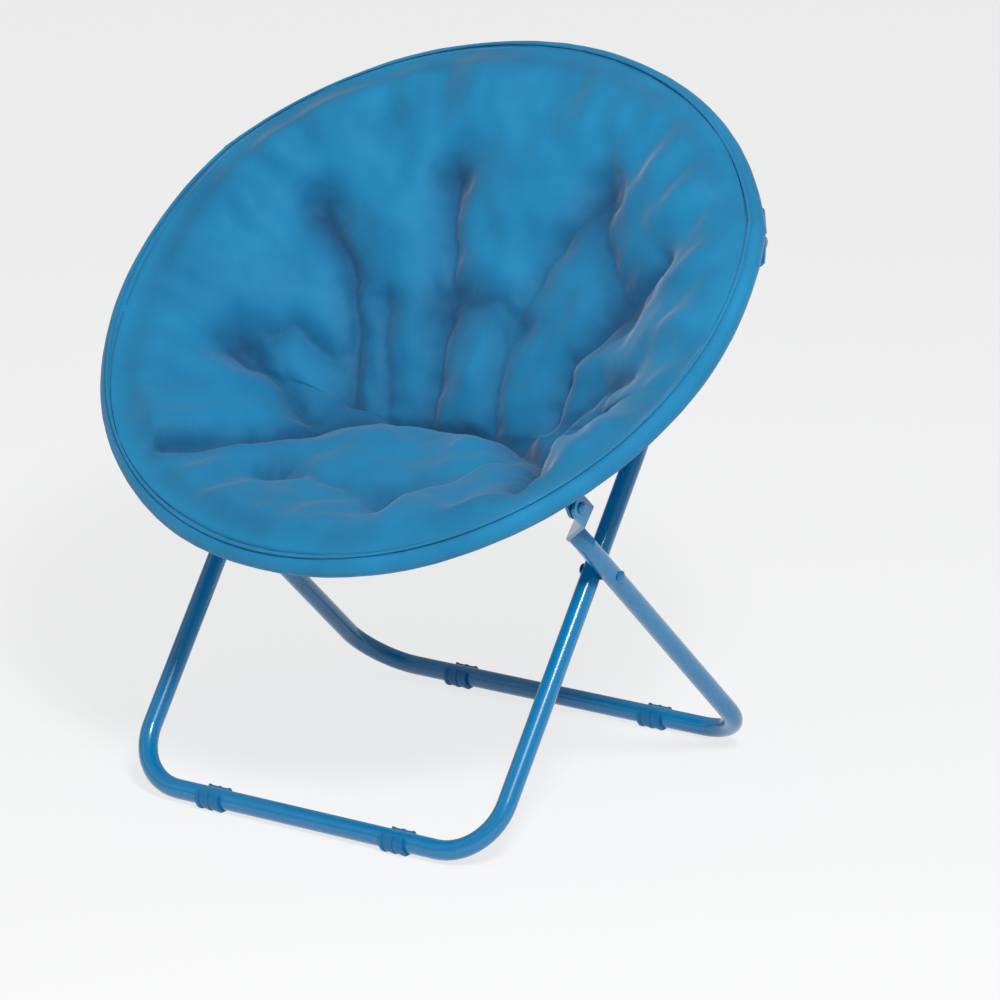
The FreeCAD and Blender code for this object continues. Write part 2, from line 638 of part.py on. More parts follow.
def leaf_foot(body, label, on_front):
    """Foot plate of a hinge leaf, welded under the tube along its direction."""
    centre = worked["front_centre"] if on_front else worked["back_centre"]
    hinge_x, hinge = worked["hinge_x"], size["hinge_reach"]
    slant = math.atan2(hinge - centre, hinge_x)
    sign = -1.0 if on_front else 1.0
    along = (-math.sin(slant) * sign, math.cos(slant) * sign)
    across = (math.cos(slant), math.sin(slant))
    near = size["leaf_reach"]
    half = size["leaf_width"] / 2.0
    far = near + size["leaf_length"]

    def corner(run, side):
        return (hinge_x + along[0] * run + across[0] * side,
                hinge + along[1] * run + across[1] * side)

    sketch = new_sketch(body, label + "_foot", (0, 0, -HALF_TUBE - size["weld_gap"]))
    tip = corner(far + size["leaf_nose"], 0)
    draw(sketch, corner(near, half), corner(near, -half), corner(far, -half),
         (tip, corner(far, half)))
    pad(body, label + "_foot_plate", sketch, size["leaf_plate"], "Sizes.leaf_plate",
        middle=False, reverse=True)


def leaf_plate(body, label, x, thickness, formula, on_front):
    """One upright plate of a hinge leaf, with its round knuckle."""
    radius = size["knuckle_radius"]
    sign = -1.0 if on_front else 1.0
    drop = size["hinge_drop"]
    foot_under = drop - HALF_TUBE - size["weld_gap"] - size["leaf_plate"]
    weld = foot_under + size["knuckle_root"]
    low = foot_under - size["knuckle_root"]
    near = sign * size["knuckle_near"]
    far = sign * size["knuckle_far"]
    sketch = new_sketch(body, label, (x, size["hinge_reach"], -drop), (0, 1, 0), (0, 0, 1))
    draw(sketch, (near, weld), (far, weld), (far, low), (0, -radius),
         ((-sign * radius, 0), (0, radius)))
    pad(body, label + "_plate", sketch, thickness, formula)


def leaf_hole(body, label):
    """Pin hole through every plate of a leaf."""
    sketch = new_sketch(body, label, (worked["hinge_x"], size["hinge_reach"], -size["hinge_drop"]),
                        (0, 1, 0), (0, 0, 1))
    draw_circle(sketch, (0, 0), size["hinge_pin_dia"] / 2.0 + size["rivet_fit"],
                "Sizes.hinge_pin_dia / 2 + Sizes.rivet_fit")
    pocket(body, label + "_drill", sketch)


def make_hinges():
    """Fork on the front half, tongue on the back half and the pin, on both sides."""
    hinge_x = worked["hinge_x"]
    cheek_x = (size["tongue_plate"] + size["cheek_plate"]) / 2.0 + size["side_play"]
    fork = new_body("hinge_fork_left", hoop_frame())
    leaf_foot(fork, "fork", True)
    leaf_plate(fork, "outer_cheek", hinge_x + cheek_x, size["cheek_plate"],
               "Sizes.cheek_plate", True)
    leaf_plate(fork, "inner_cheek", hinge_x - cheek_x, size["cheek_plate"],
               "Sizes.cheek_plate", True)
    leaf_hole(fork, "fork_hole")
    tongue = new_body("hinge_tongue_left", hoop_frame())
    leaf_foot(tongue, "tongue", False)
    leaf_plate(tongue, "tongue_leaf", hinge_x, size["tongue_plate"], "Sizes.tongue_plate", False)
    leaf_hole(tongue, "tongue_hole")
    y, z = slope_point(size["hinge_reach"], -size["hinge_drop"])
    grip = 2.0 * (cheek_x + size["cheek_plate"] / 2.0 + size["side_play"])
    pin = make_rivet("hinge_pin_left", Vector(hinge_x, y, z), size["hinge_head_dia"],
                     size["hinge_head_height"], size["hinge_pin_dia"] / 2.0,
                     "Sizes.hinge_pin_dia / 2", grip)
    return [fork, mirror_part("hinge_fork_right", fork),
            tongue, mirror_part("hinge_tongue_right", tongue),
            pin, mirror_part("hinge_pin_right", pin)]


# Cloth

def make_sleeve(front):
    """Cloth sleeve round half of the hoop, open below at the hinge and the ear."""
    label = "front_rim_sleeve" if front else "back_rim_sleeve"
    outer = size["sleeve_dia"] / 2.0
    inner = HALF_TUBE + size["cloth_gap"]

    def ring(section):
        draw_tube_ring(section, "Sizes.sleeve_dia / 2", "Sizes.tube_dia / 2 + Sizes.cloth_gap",
                       outer, inner)

    body = hoop_sweep(label, front, (0.0, 0.0), ring)
    along = worked["front_ear_reach"] if front else size["back_ear_reach"]
    slit_x, half_x = ear_x(along), size["ear_plate"] / 2.0 + size["slit_play"]
    half_u = size["ear_radius"] + size["slit_play"]
    slit = new_sketch(body, label + "_ear_slit")
    draw(slit, (slit_x - half_x, along - half_u), (slit_x + half_x, along - half_u),
         (slit_x + half_x, along + half_u), (slit_x - half_x, along + half_u))
    pocket(body, label + "_ear_cut", slit, 2.0 * outer, middle=False)

    centre = worked["front_centre"] if front else worked["back_centre"]
    slant = math.atan2(size["hinge_reach"] - centre, worked["hinge_x"])
    sign = -1.0 if front else 1.0
    run = size["notch_length"]
    wide = size["leaf_width"] / 2.0 + size["notch_play"]

    def corner(distance, side):
        x = worked["hinge_x"] - math.sin(slant) * sign * distance + math.cos(slant) * side
        u = size["hinge_reach"] + math.cos(slant) * sign * distance + math.sin(slant) * side
        return x, u

    notch = new_sketch(body, label + "_hinge_notch", (0, 0, -size["notch_depth"]))
    draw(notch, corner(-size["leaf_width"], -wide), corner(-size["leaf_width"], wide),
         corner(run, wide), corner(run, -wide))
    pocket(body, label + "_hinge_cut", notch, 2.0 * outer, middle=False)
    mirror_sides(body)
    return body


def make_piping(front):
    """Piping sewn along the top of the sleeve, where the pad's cloth begins."""
    label = "front_piping" if front else "back_piping"
    half = size["piping_dia"] / 2.0
    inset = size["piping_inset"]
    above = math.sqrt((size["sleeve_dia"] / 2.0 + size["cloth_gap"] + half) ** 2 - inset ** 2)

    def ring(section):
        draw_circle(section, (0, 0), half, "Sizes.piping_dia / 2")

    body = hoop_sweep(label, front, (inset, above), ring)
    mirror_sides(body)
    return body


def pad_inset():
    """Edge of the pad inside the centre line of the hoop."""
    return size["sleeve_dia"] / 2.0 + size["pad_edge_inset"] + size["cloth_gap"]


def bowl_line(along):
    """Top of the pad on the middle line of the bowl, above the plane of the hoop."""
    edge = size["hoop_reach"] - pad_inset()
    fall = size["bowl_depth"] + size["pad_edge_top"]
    crease = -size["crease_reach"]
    if along <= crease:
        share = (along + edge) / (crease + edge)
        return size["pad_edge_top"] - fall * max(share, 0.0) ** SEAT_SAG
    share = (along - crease) / (edge - crease)
    return -size["bowl_depth"] + fall * min(share, 1.0) ** BACK_SAG


def pad_top(across, along):
    """Top of the pad anywhere: an arc from edge to edge through the middle line."""
    half = hoop_half_width(along, pad_inset())
    edge, low = size["pad_edge_top"], bowl_line(along)
    sag = edge - low
    radius = (half ** 2 + sag ** 2) / (2.0 * sag)
    return low + radius - math.sqrt(radius ** 2 - across ** 2)


def pad_section(along, front):
    """One section of the pad across the bowl: two arcs and two short edges."""
    place = along if front else max(along, size["hinge_reach"])
    half = hoop_half_width(place, pad_inset())
    low_half = half + pad_inset() - size["pad_under_inset"]
    top, low = size["pad_edge_top"], -size["pad_edge_drop"]
    middle = bowl_line(along)
    under = middle - size["pad_thickness"]
    points = [Vector(x, along, w) for x, w in
              ((-half, top), (0, middle), (half, top), (low_half, low), (0, under),
               (-low_half, low))]
    edges = [Part.Arc(points[0], points[1], points[2]).toShape(),
             Part.LineSegment(points[2], points[3]).toShape(),
             Part.Arc(points[3], points[4], points[5]).toShape(),
             Part.LineSegment(points[5], points[0]).toShape()]
    return Part.Wire(edges)


def pad_loft(start, end, shares, front):
    """Loft the pad's sections over one run of the slope."""
    sections = [pad_section(start + (end - start) * share, front) for share in shares]
    return Part.makeLoft(sections, True, False)


def cut_tufts(solid, tufts):
    """Pull in the pad at each sewn tuft, square to its surface."""
    for across, along in tufts:
        low = pad_top(across, along)
        rise_x = pad_top(across + 0.5, along) - pad_top(across - 0.5, along)
        rise_y = pad_top(across, along + 0.5) - pad_top(across, along - 0.5)
        normal = Vector(-rise_x, -rise_y, 1.0).normalize()
        lift = size["tuft_radius"] - size["tuft_depth"]
        solid = solid.cut(Part.makeSphere(size["tuft_radius"],
                                          Vector(across, along, low) + normal * lift))
    return solid


def make_pads():
    """Seat pad up to the hinges, in two lofts that meet at the crease, and the back pad."""
    edge = size["hoop_reach"] - pad_inset()
    crease = -size["crease_reach"]
    split_front = size["hinge_reach"] - size["cloth_gap"]
    split_back = size["hinge_reach"] + size["cloth_gap"]
    seat = pad_loft(-edge, crease, SEAT_SECTIONS, True)
    lower_back = pad_loft(crease, split_front, LOWER_BACK_SECTIONS, True)
    seat_solid = cut_tufts(seat.fuse(lower_back), SEAT_TUFTS)
    upper = pad_loft(split_back, edge, UPPER_BACK_SECTIONS, False)
    back_solid = cut_tufts(upper, BACK_TUFTS)
    nodes = []
    for label, shape in (("seat_pad", seat_solid), ("back_pad", back_solid)):
        node = doc.addObject("Part::Feature", label)
        node.Label = label
        node.Shape = shape.Solids[0]
        node.Placement = hoop_frame()
        nodes.append(node)
    return nodes


# Floor clips

def clip_outline(sketch, outer):
    """C-shaped section of a clip, open above and flat where it stands."""
    inner = HALF_TUBE + size["clip_grip"]
    opening = math.radians(CLIP_OPENING)
    flat = math.asin(size["bar_height"] / outer)

    def at(radius, angle):
        return radius * math.cos(angle), radius * math.sin(angle)

    right, left = math.pi / 2.0 - opening, math.pi / 2.0 + opening
    draw(sketch, at(outer, right), (at(outer, 0.0), at(outer, -flat)), at(outer, math.pi + flat),
         (at(outer, math.pi), at(outer, left)), at(inner, left),
         (at(inner, -math.pi / 2.0), at(inner, right)))


def make_clip(label, place, reach, placement_formula):
    """A ribbed floor clip on its bar."""
    body = new_body(label, FreeCAD.Placement(Vector(place, reach, size["bar_height"]),
                                             FreeCAD.Rotation()))
    body.setExpression("Placement.Base.x", placement_formula)
    outer = HALF_TUBE + size["clip_grip"] + size["clip_wall"]
    shell = new_sketch(body, label + "_section", (0, 0, 0), (0, 1, 0), (0, 0, 1))
    clip_outline(shell, outer)
    pad(body, label + "_shell", shell, size["clip_width"], "Sizes.clip_width")
    spread = size["clip_width"] - size["clip_rib_width"]
    rib_sketch = new_sketch(body, label + "_rib_section", (-spread / 2.0, 0, 0), (0, 1, 0),
                            (0, 0, 1))
    clip_outline(rib_sketch, outer + size["clip_rib"])
    rib = pad(body, label + "_rib", rib_sketch, size["clip_rib_width"], "Sizes.clip_rib_width")
    doc.recompute()
    ribs = body.newObject("PartDesign::LinearPattern", label + "_ribs")
    ribs.Originals = [rib]
    ribs.Direction = (origin_part(body, "X_Axis"), [""])
    ribs.Occurrences = CLIP_RIBS
    ribs.Length = spread
    ribs.setExpression("Length", "Sizes.clip_width - Sizes.clip_rib_width")
    body.Tip = ribs
    return body


def make_clips():
    """Four floor clips."""
    front_y, rear_y = -size["front_bar_reach"], size["rear_bar_reach"]
    front = make_clip("front_clip_left", size["front_clip_place"], front_y,
                      "Sizes.front_clip_place")
    rear = make_clip("rear_clip_left", size["rear_clip_place"], rear_y, "Sizes.rear_clip_place")
    return [front, mirror_part("front_clip_right", front),
            rear, mirror_part("rear_clip_right", rear)]


def make_chair():
    """Every piece of the chair, in the order in which it goes together."""
    nodes = [make_rear_legs(), make_front_legs()]
    nodes += make_cross_pivots()
    nodes += [make_hoop(True), make_hoop(False)]
    nodes += make_hinges()
    nodes += make_ear_pivot("front", worked["front_ear_reach"], split=False)
    nodes += make_ear_pivot("back", size["back_ear_reach"], split=True)
    nodes += [make_sleeve(True), make_sleeve(False), make_piping(True), make_piping(False)]
    nodes += make_pads()
    nodes += make_clips()
    return nodes


def check_document():
    """Stop if any object of the document has failed."""
    for item in doc.Objects:
        if "Invalid" in item.State or "Error" in item.State:
            raise RuntimeError("%s failed: %s" % (item.Label, item.State))


def write_parts(nodes):
    """Write each piece's solid to its own file."""
    os.makedirs("parts", exist_ok=True)
    for node in nodes:
        shape = node.Shape
        if shape.isNull() or not shape.isValid() or not shape.Solids:
            raise RuntimeError("%s has no valid solid" % node.Label)
        shape.exportStep("parts/%s.step" % node.Label)
        print("%-22s %d solid(s) %10.1f mm3" % (node.Label, len(shape.Solids), shape.Volume))


chair = make_chair()
doc.recompute()
check_document()
write_parts(chair)
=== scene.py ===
"""Cloth cover, painted tubes and studio for a folding saucer chair."""

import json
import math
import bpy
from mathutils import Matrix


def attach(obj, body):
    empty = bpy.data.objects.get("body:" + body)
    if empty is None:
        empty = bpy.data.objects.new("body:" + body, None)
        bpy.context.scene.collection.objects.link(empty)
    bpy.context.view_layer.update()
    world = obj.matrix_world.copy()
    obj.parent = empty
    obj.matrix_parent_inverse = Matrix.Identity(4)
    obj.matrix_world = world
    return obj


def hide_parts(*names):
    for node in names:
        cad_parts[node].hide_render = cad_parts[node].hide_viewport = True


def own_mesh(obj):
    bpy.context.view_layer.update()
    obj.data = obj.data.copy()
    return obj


bl_info = {
    "name": "Folding Saucer Chair",
    "version": (1, 0, 0),
    "blender": (4, 5, 0),
    "location": "View3D > Sidebar > Saucer Chair",
    "description": "Dresses the packed frame of a folding saucer chair",
    "category": "Object",
}

import bmesh
import bpy
from bpy.props import FloatProperty, FloatVectorProperty, IntProperty, PointerProperty
from mathutils import Matrix, Vector, noise

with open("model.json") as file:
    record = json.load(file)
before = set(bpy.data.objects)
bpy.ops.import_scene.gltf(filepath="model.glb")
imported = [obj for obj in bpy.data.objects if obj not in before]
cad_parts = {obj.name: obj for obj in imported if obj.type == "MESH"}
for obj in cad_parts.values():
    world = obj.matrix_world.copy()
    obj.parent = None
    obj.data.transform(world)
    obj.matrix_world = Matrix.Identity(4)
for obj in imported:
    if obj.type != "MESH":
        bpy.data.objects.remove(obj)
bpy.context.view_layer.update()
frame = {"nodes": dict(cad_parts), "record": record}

# The hoop, as in the part's source, in metres. Its own axes are x across, u up the slope and
# w out of its plane.
HOOP_TILT = math.radians(37.84)
HOOP_HEIGHT = 0.5438
HINGE_REACH = 0.160
FRONT_RADIUS, FRONT_CENTRE = 0.377, 0.015
HINGE_X = math.sqrt(FRONT_RADIUS ** 2 - (HINGE_REACH - FRONT_CENTRE) ** 2)
HOOP_REACH = 0.362
BACK_CENTRE = (HINGE_X ** 2 + HINGE_REACH ** 2 - HOOP_REACH ** 2) / 2 / (HINGE_REACH - HOOP_REACH)
BACK_RADIUS = HOOP_REACH - BACK_CENTRE
HOOP_PLACE = Matrix.Translation((0, 0, HOOP_HEIGHT)) @ Matrix.Rotation(HOOP_TILT, 4, "X")

# The pad's outline on top and beneath, moved in from the hoop, and the bowl's middle line.
EDGE_INSET, EDGE_TOP = 0.0016, 0.0146
UNDER_INSET, UNDER_TOP = 0.019, -0.009
CREASE_U, BOWL_DEPTH = -0.065, 0.170
PAD_THICKNESS = 0.016
SLEEVE_RADIUS = 0.013
SLEEVE_WALL = 0.0013
PIPING_INSET, PIPING_RISE, PIPING_RADIUS = 0.0005, 0.0148, 0.0015

# Points round the section of the sleeve and the piping, and steps along the hoop's halves.
SLEEVE_POINTS, SLEEVE_STEPS = 48, {True: 220, False: 120}
PIPING_POINTS, PIPING_STEPS = 14, {True: 300, False: 160}

# The sleeve's openings: round an ear, and below a hinge.
FRONT_EAR_REACH, BACK_EAR_REACH, EAR_INWARD = -0.2068, 0.240, 0.008
EAR_HALF_WIDTH, EAR_HALF_LENGTH = 0.0045, 0.0150
HINGE_OPENING, HINGE_OPENING_TOP = 0.044, -0.0075

# The sleeve's gathers along its seam and its slack: lumps to a metre, height and spread round it.
GATHER_RATE, GATHER_HEIGHT, GATHER_SPREAD = 55.0, 0.0009, 0.8
SLACK_RATE, SLACK_HEIGHT, SLACK_SPREAD = 9.0, 0.0012, 0.6
SEAM_ANGLE, GATHER_BASE, SLEEVE_DRAW = math.radians(160.0), 0.35, 0.0006

# How the seams hold the cloth while it swells.
SEAM_REACH, TUFT_HOLD, FOLD_HOLD, HEM_SHARE = 0.007, 0.010, 0.6, 0.02
LEAST_HOLD = 0.03
SWELL_FRAMES = 20

# Where the stuffing has room: by the rim as a share of the bowl, by the seams in metres.
EDGE_ROOM, CREASE_ROOM, CREASE_WIDTH = 0.06, 0.020, 0.012
TUFT_STRENGTH, TUFT_ROOM = 0.95, 0.022
PUCKER_INWARD, PUCKER_REACH, PUCKER_RATE = 0.13, 0.11, 6.5
EDGE_FADE = 0.06

# The lamps and the floor, in metres.
KEY_PLACE, KEY_TARGET, KEY_SIZE = (1.9, -1.7, 2.9), (0.0, 0.0, 0.45), 0.8
FILL_PLACE, FILL_TARGET, FILL_SIZE = (-2.4, -1.9, 1.6), (0.0, 0.0, 0.5), 2.2
FLOOR_HALF_SIZE, FLOOR_DROP = 14.0, 0.0004

# Sewn tufts of the quilting, across and up the slope.
TUFTS = ((-0.226, 0.130), (-0.080, 0.204), (0.128, 0.204), (-0.258, -0.053), (-0.045, 0.077),
         (0.209, 0.077), (-0.102, -0.225), (0.064, -0.241), (0.240, -0.215))

# Where the seat meets the walls of the bowl.
CREASE = ((-0.215, -0.250), (-0.183, -0.214), (-0.163, -0.193), (-0.143, -0.156),
          (-0.122, -0.119), (-0.076, -0.076), (-0.025, -0.064), (0.042, -0.064),
          (0.109, -0.079), (0.164, -0.104), (0.205, -0.150), (0.240, -0.207))

# Folds of the cloth: line, how deeply it cuts into the stuffing and its reach.
FOLDS = (
    (((-0.226, 0.130), (-0.174, 0.085), (-0.150, 0.030), (-0.137, -0.009), (-0.125, -0.060)),
     0.92, 0.021),
    (((-0.123, 0.061), (-0.105, 0.010), (-0.087, -0.040)), 0.70, 0.018),
    (((-0.080, 0.204), (-0.060, 0.140), (-0.045, 0.077), (-0.035, 0.000), (-0.028, -0.057)),
     0.80, 0.019),
    (((-0.045, 0.077), (0.030, 0.085), (0.060, 0.060)), 0.60, 0.021),
    (((0.145, -0.039), (0.153, 0.025), (0.209, 0.077), (0.246, 0.124)), 0.92, 0.021),
    (((0.128, 0.204), (0.150, 0.150), (0.209, 0.077)), 0.70, 0.021),
    (((0.128, 0.204), (0.075, 0.130), (0.050, 0.040), (0.060, -0.050)), 0.60, 0.024),
    (((-0.258, -0.053), (-0.205, -0.075), (-0.150, -0.110)), 0.80, 0.018),
    (((-0.258, -0.053), (-0.215, 0.000), (-0.160, -0.020)), 0.60, 0.021),
    (((0.240, -0.060), (0.200, -0.085), (0.160, -0.105)), 0.80, 0.018),
    (((0.280, -0.020), (0.225, -0.020), (0.180, -0.050)), 0.70, 0.019),
    (((-0.102, -0.225), (-0.020, -0.235), (0.064, -0.241)), 0.45, 0.021),
    (((0.064, -0.241), (0.130, -0.200), (0.150, -0.140)), 0.45, 0.021),
)


class SaucerClothSettings(bpy.types.PropertyGroup):
    """Shape and colour of the cloth cover."""

    steps: IntProperty(name="Grid Steps", description="Quads across the bowl before subdivision",
                       default=110, min=40, max=200)
    puff: FloatProperty(name="Puff", description="Pressure of the stuffing", default=4.0)
    point_mass: FloatProperty(name="Point Mass", default=0.05, unit="MASS",
                              description="Mass of one point of the cloth")
    spare_cloth: FloatProperty(name="Spare Cloth", default=0.035, subtype="FACTOR",
                               description="How much larger the cloth is cut than the bowl")
    swell: FloatProperty(name="Most Swell", default=0.014, unit="LENGTH",
                         description="How far a point of the cloth may move")
    seat_loft: FloatProperty(name="Seat Loft", default=0.040, unit="LENGTH",
                             description="Rise of the seat's stuffing over its seams")
    back_loft: FloatProperty(name="Back Loft", default=0.036, unit="LENGTH",
                             description="Rise of the back's stuffing over its seams")
    pucker: FloatProperty(name="Pucker", default=0.018, unit="LENGTH",
                          description="Height of the puckers beside the rim")
    crumple: FloatProperty(name="Crumple", default=0.010, unit="LENGTH",
                           description="Height of the soft crumples")
    crease_depth: FloatProperty(name="Crease Depth", default=0.006, unit="LENGTH",
                                description="Depth of the crease round the seat")
    colour: FloatVectorProperty(name="Cloth", subtype="COLOR", default=(0.0, 0.270, 0.54),
                                description="Colour of the cloth in the light")
    # Painted shade: the cloth is mixed towards this darker blue along its folds, crease and tufts
    # and where the weave dips between threads; broad and fine noise also mix it in as random tone.
    painted_shade_and_tone_colour: FloatVectorProperty(name="Cloth Painted Shade And Tone", subtype="COLOR",
                                       default=(0.0, 0.075, 0.200),
                                       description="Colour of the cloth in its folds")
    thread_pitch: FloatProperty(name="Weave", default=0.0011, unit="LENGTH",
                                description="One thread of the weave to the next")


class SaucerPaintSettings(bpy.types.PropertyGroup):
    """Paint of the metal and colours of the moulded pieces."""

    colour: FloatVectorProperty(name="Paint", subtype="COLOR", default=(0.0, 0.235, 0.52),
                                description="Colour of the powder coat")
    roughness: FloatProperty(name="Roughness", default=0.26, subtype="FACTOR",
                             description="Roughness of the powder coat")
    clip_colour: FloatVectorProperty(name="Clips", subtype="COLOR", default=(0.0, 0.17, 0.40),
                                     description="Colour of the floor clips")
    washer_colour: FloatVectorProperty(name="Washers", subtype="COLOR",
                                       default=(0.004, 0.03, 0.07),
                                       description="Colour of the plastic washers")


class SaucerStageSettings(bpy.types.PropertyGroup):
    """Camera, lamps and floor."""

    azimuth: FloatProperty(name="Azimuth", default=math.radians(34.56), subtype="ANGLE",
                           description="Camera round the chair from its front")
    elevation: FloatProperty(name="Elevation", default=math.radians(16.74), subtype="ANGLE",
                             description="Camera above level")
    roll: FloatProperty(name="Roll", default=math.radians(-0.57), subtype="ANGLE",
                        description="Turn of the camera about its view")
    distance: FloatProperty(name="Distance", default=5.4846, unit="LENGTH",
                            description="Camera to what it looks at")
    focal_ratio: FloatProperty(name="Focal Ratio", default=5.13031,
                               description="Focal length as a share of the sensor's width")
    target: FloatVectorProperty(name="Target", default=(0.1683, -0.0967, 0.3676),
                                subtype="TRANSLATION", description="What the camera looks at")
    floor_colour: FloatVectorProperty(name="Floor", subtype="COLOR", default=(0.95, 0.95, 0.95),
                                      description="Colour of the floor")
    paper_white: FloatProperty(name="Paper White", default=0.75, subtype="FACTOR",
                               description="Share of plain white in the floor as seen")
    key_power: FloatProperty(name="Key Lamp", default=84.0, description="Power in watts")
    fill_power: FloatProperty(name="Fill Lamp", default=4.0, description="Power in watts")
    sky: FloatProperty(name="Sky", default=0.30, description="Strength of the even light")


# Nodes

class Wire:
    """An output of a material's node; arithmetic on it adds Math nodes."""

    def __init__(self, finish, socket):
        self.finish = finish
        self.socket = socket

    def join(self, operation, left, right):
        return self.finish.node("ShaderNodeMath", {"operation": operation}, {0: left, 1: right})

    def __add__(self, other):
        return self.join("ADD", self, other)

    def __radd__(self, other):
        return self.join("ADD", other, self)

    def __sub__(self, other):
        return self.join("SUBTRACT", self, other)

    def __rsub__(self, other):
        return self.join("SUBTRACT", other, self)

    def __mul__(self, other):
        return self.join("MULTIPLY", self, other)

    def __rmul__(self, other):
        return self.join("MULTIPLY", other, self)


class Finish:
    """One material and the nodes that make it."""

    def __init__(self, name, shader_values=None):
        self.material = bpy.data.materials.new(name)
        self.material.use_nodes = True
        self.tree = self.material.node_tree
        self.tree.nodes.clear()
        self.shader = self.tree.nodes.new("ShaderNodeBsdfPrincipled")
        self.out = self.tree.nodes.new("ShaderNodeOutputMaterial")
        self.tree.links.new(self.shader.outputs[0], self.out.inputs["Surface"])
        for socket, value in (shader_values or {}).items():
            self.use(socket, value)

    def put(self, socket, value):
        """Link a wire to a socket, or set the socket's value."""
        if isinstance(value, Wire):
            self.tree.links.new(value.socket, socket)
        elif hasattr(value, "__len__") and len(value) == 3 and socket.type == "RGBA":
            socket.default_value = (*value, 1.0)
        else:
            socket.default_value = value

    def node(self, kind, settings=None, values=None, output=0):
        """Add a node: its settings first, then the values or links of its sockets."""
        item = self.tree.nodes.new(kind)
        for name, value in (settings or {}).items():
            if name == "stops":
                self.set_stops(item.color_ramp, value)
            else:
                setattr(item, name, value)
        for name, value in (values or {}).items():
            self.put(item.inputs[name], value)
        return Wire(self, item.outputs[output])

    def set_stops(self, ramp, stops):
        """Place the stops of a ramp: position and grey value."""
        while len(ramp.elements) < len(stops):
            ramp.elements.new(0.5)
        for element, (place, grey) in zip(ramp.elements, stops):
            element.position = place
            element.color = (grey, grey, grey, 1.0)

    def places(self, uv=False):
        """Object coordinates, or the piece's own UV map."""
        return self.node("ShaderNodeTexCoord", output="UV" if uv else "Object")

    def clouds(self, places, size, detail=2.0, roughness=0.5):
        """Soft noise whose lumps are about this size in metres."""
        return self.node("ShaderNodeTexNoise", None,
                         {"Vector": places, "Scale": 1.0 / size, "Detail": detail,
                          "Roughness": roughness})

    def mix(self, factor, first, second):
        """A colour between two colours."""
        return self.node("ShaderNodeMix", {"data_type": "RGBA"},
                         {"Factor": factor, 6: first, 7: second}, output=2)

    def stretch(self, value, low, high, to_low, to_high):
        """Map a run of values onto another, held at its ends."""
        return self.node("ShaderNodeMapRange", {"clamp": True},
                         {0: value, 1: low, 2: high, 3: to_low, 4: to_high})

    def bump(self, height, distance, strength=1.0, normal=None):
        """Turn a height into a bent normal."""
        values = {"Height": height, "Distance": distance, "Strength": strength}
        if normal is not None:
            values["Normal"] = normal
        return self.node("ShaderNodeBump", None, values)

    def use(self, name, value):
        """Feed one input of the shader."""
        self.put(self.shader.inputs[name], value)


def add_weave(finish, uv, pitch):
    """Height of a plain weave: threads pass over and under each other in turn."""
    parts = finish.tree.nodes.new("ShaderNodeSeparateXYZ")
    finish.tree.links.new(uv.socket, parts.inputs[0])
    across, along = Wire(finish, parts.outputs[0]), Wire(finish, parts.outputs[1])
    turn = math.pi / pitch
    over = finish.node("ShaderNodeMath", {"operation": "SINE"}, {0: across * turn})
    under = finish.node("ShaderNodeMath", {"operation": "SINE"}, {0: along * turn})
    return over * under * 0.5 + 0.5


def cloth_finish(name, settings, paint_fold_shade=True):
    """Woven polyester: threads, crumples and a soft sheen, with painted shade between the threads
    and, unless turned off, along the folds, crease and tufts.
    """
    finish = Finish(name, {"Sheen Weight": 0.25, "Sheen Roughness": 0.45})
    uv = finish.places(uv=True)
    solid = finish.places()
    weave = add_weave(finish, uv, settings.thread_pitch)
    broad = finish.clouds(solid, 0.09, 3.0)
    fine = finish.clouds(solid, 0.007, 3.0, 0.6)
    # The mix towards the darker colour: random tone from broad noise, then the painted shade added
    # below.
    shade = finish.stretch(broad, 0.35, 0.65, 0.0, 0.22)
    # Painted shade along the folds, crease and tufts, read from the mesh's mask.
    if paint_fold_shade:
        fold = finish.node("ShaderNodeAttribute", {"attribute_name": "fold"}, output="Fac")
        shade = shade + finish.stretch(fold, 0.25, 0.95, 0.0, 0.75)
    # Painted shade where the weave dips between the threads, and random tone from the fine noise.
    shade = shade + (1.0 - weave) * 0.16 + (fine - 0.5) * 0.10
    clamped = finish.stretch(shade, 0.0, 1.0, 0.0, 1.0)
    finish.use("Base Color", finish.mix(clamped, settings.colour, settings.painted_shade_and_tone_colour))
    finish.use("Roughness", finish.stretch(broad, 0.3, 0.7, 0.70, 0.82))
    crumple = finish.clouds(solid, 0.018, 4.0, 0.55)
    normal = finish.bump(crumple, 0.0016, 0.35)
    normal = finish.bump(weave, 0.00016, 0.6, normal)
    finish.use("Normal", normal)
    return finish.material


def paint_finish(name, colour, roughness, coat=0.5):
    """Powder coat: faint orange peel, slight unevenness and a clear gloss."""
    finish = Finish(name, {"Coat Weight": coat, "Coat Roughness": 0.08})
    solid = finish.places()
    peel = finish.clouds(solid, 0.0016, 2.0)
    broad = finish.clouds(solid, 0.05, 3.0)
    dust = finish.clouds(solid, 0.004, 4.0, 0.7)
    darker = tuple(0.84 * c for c in colour)
    finish.use("Base Color", finish.mix(finish.stretch(broad, 0.3, 0.7, 0.0, 0.6), colour, darker))
    finish.use("Roughness", roughness + (dust - 0.5) * 0.10)
    finish.use("Normal", finish.bump(peel, 0.00012, 0.25))
    return finish.material


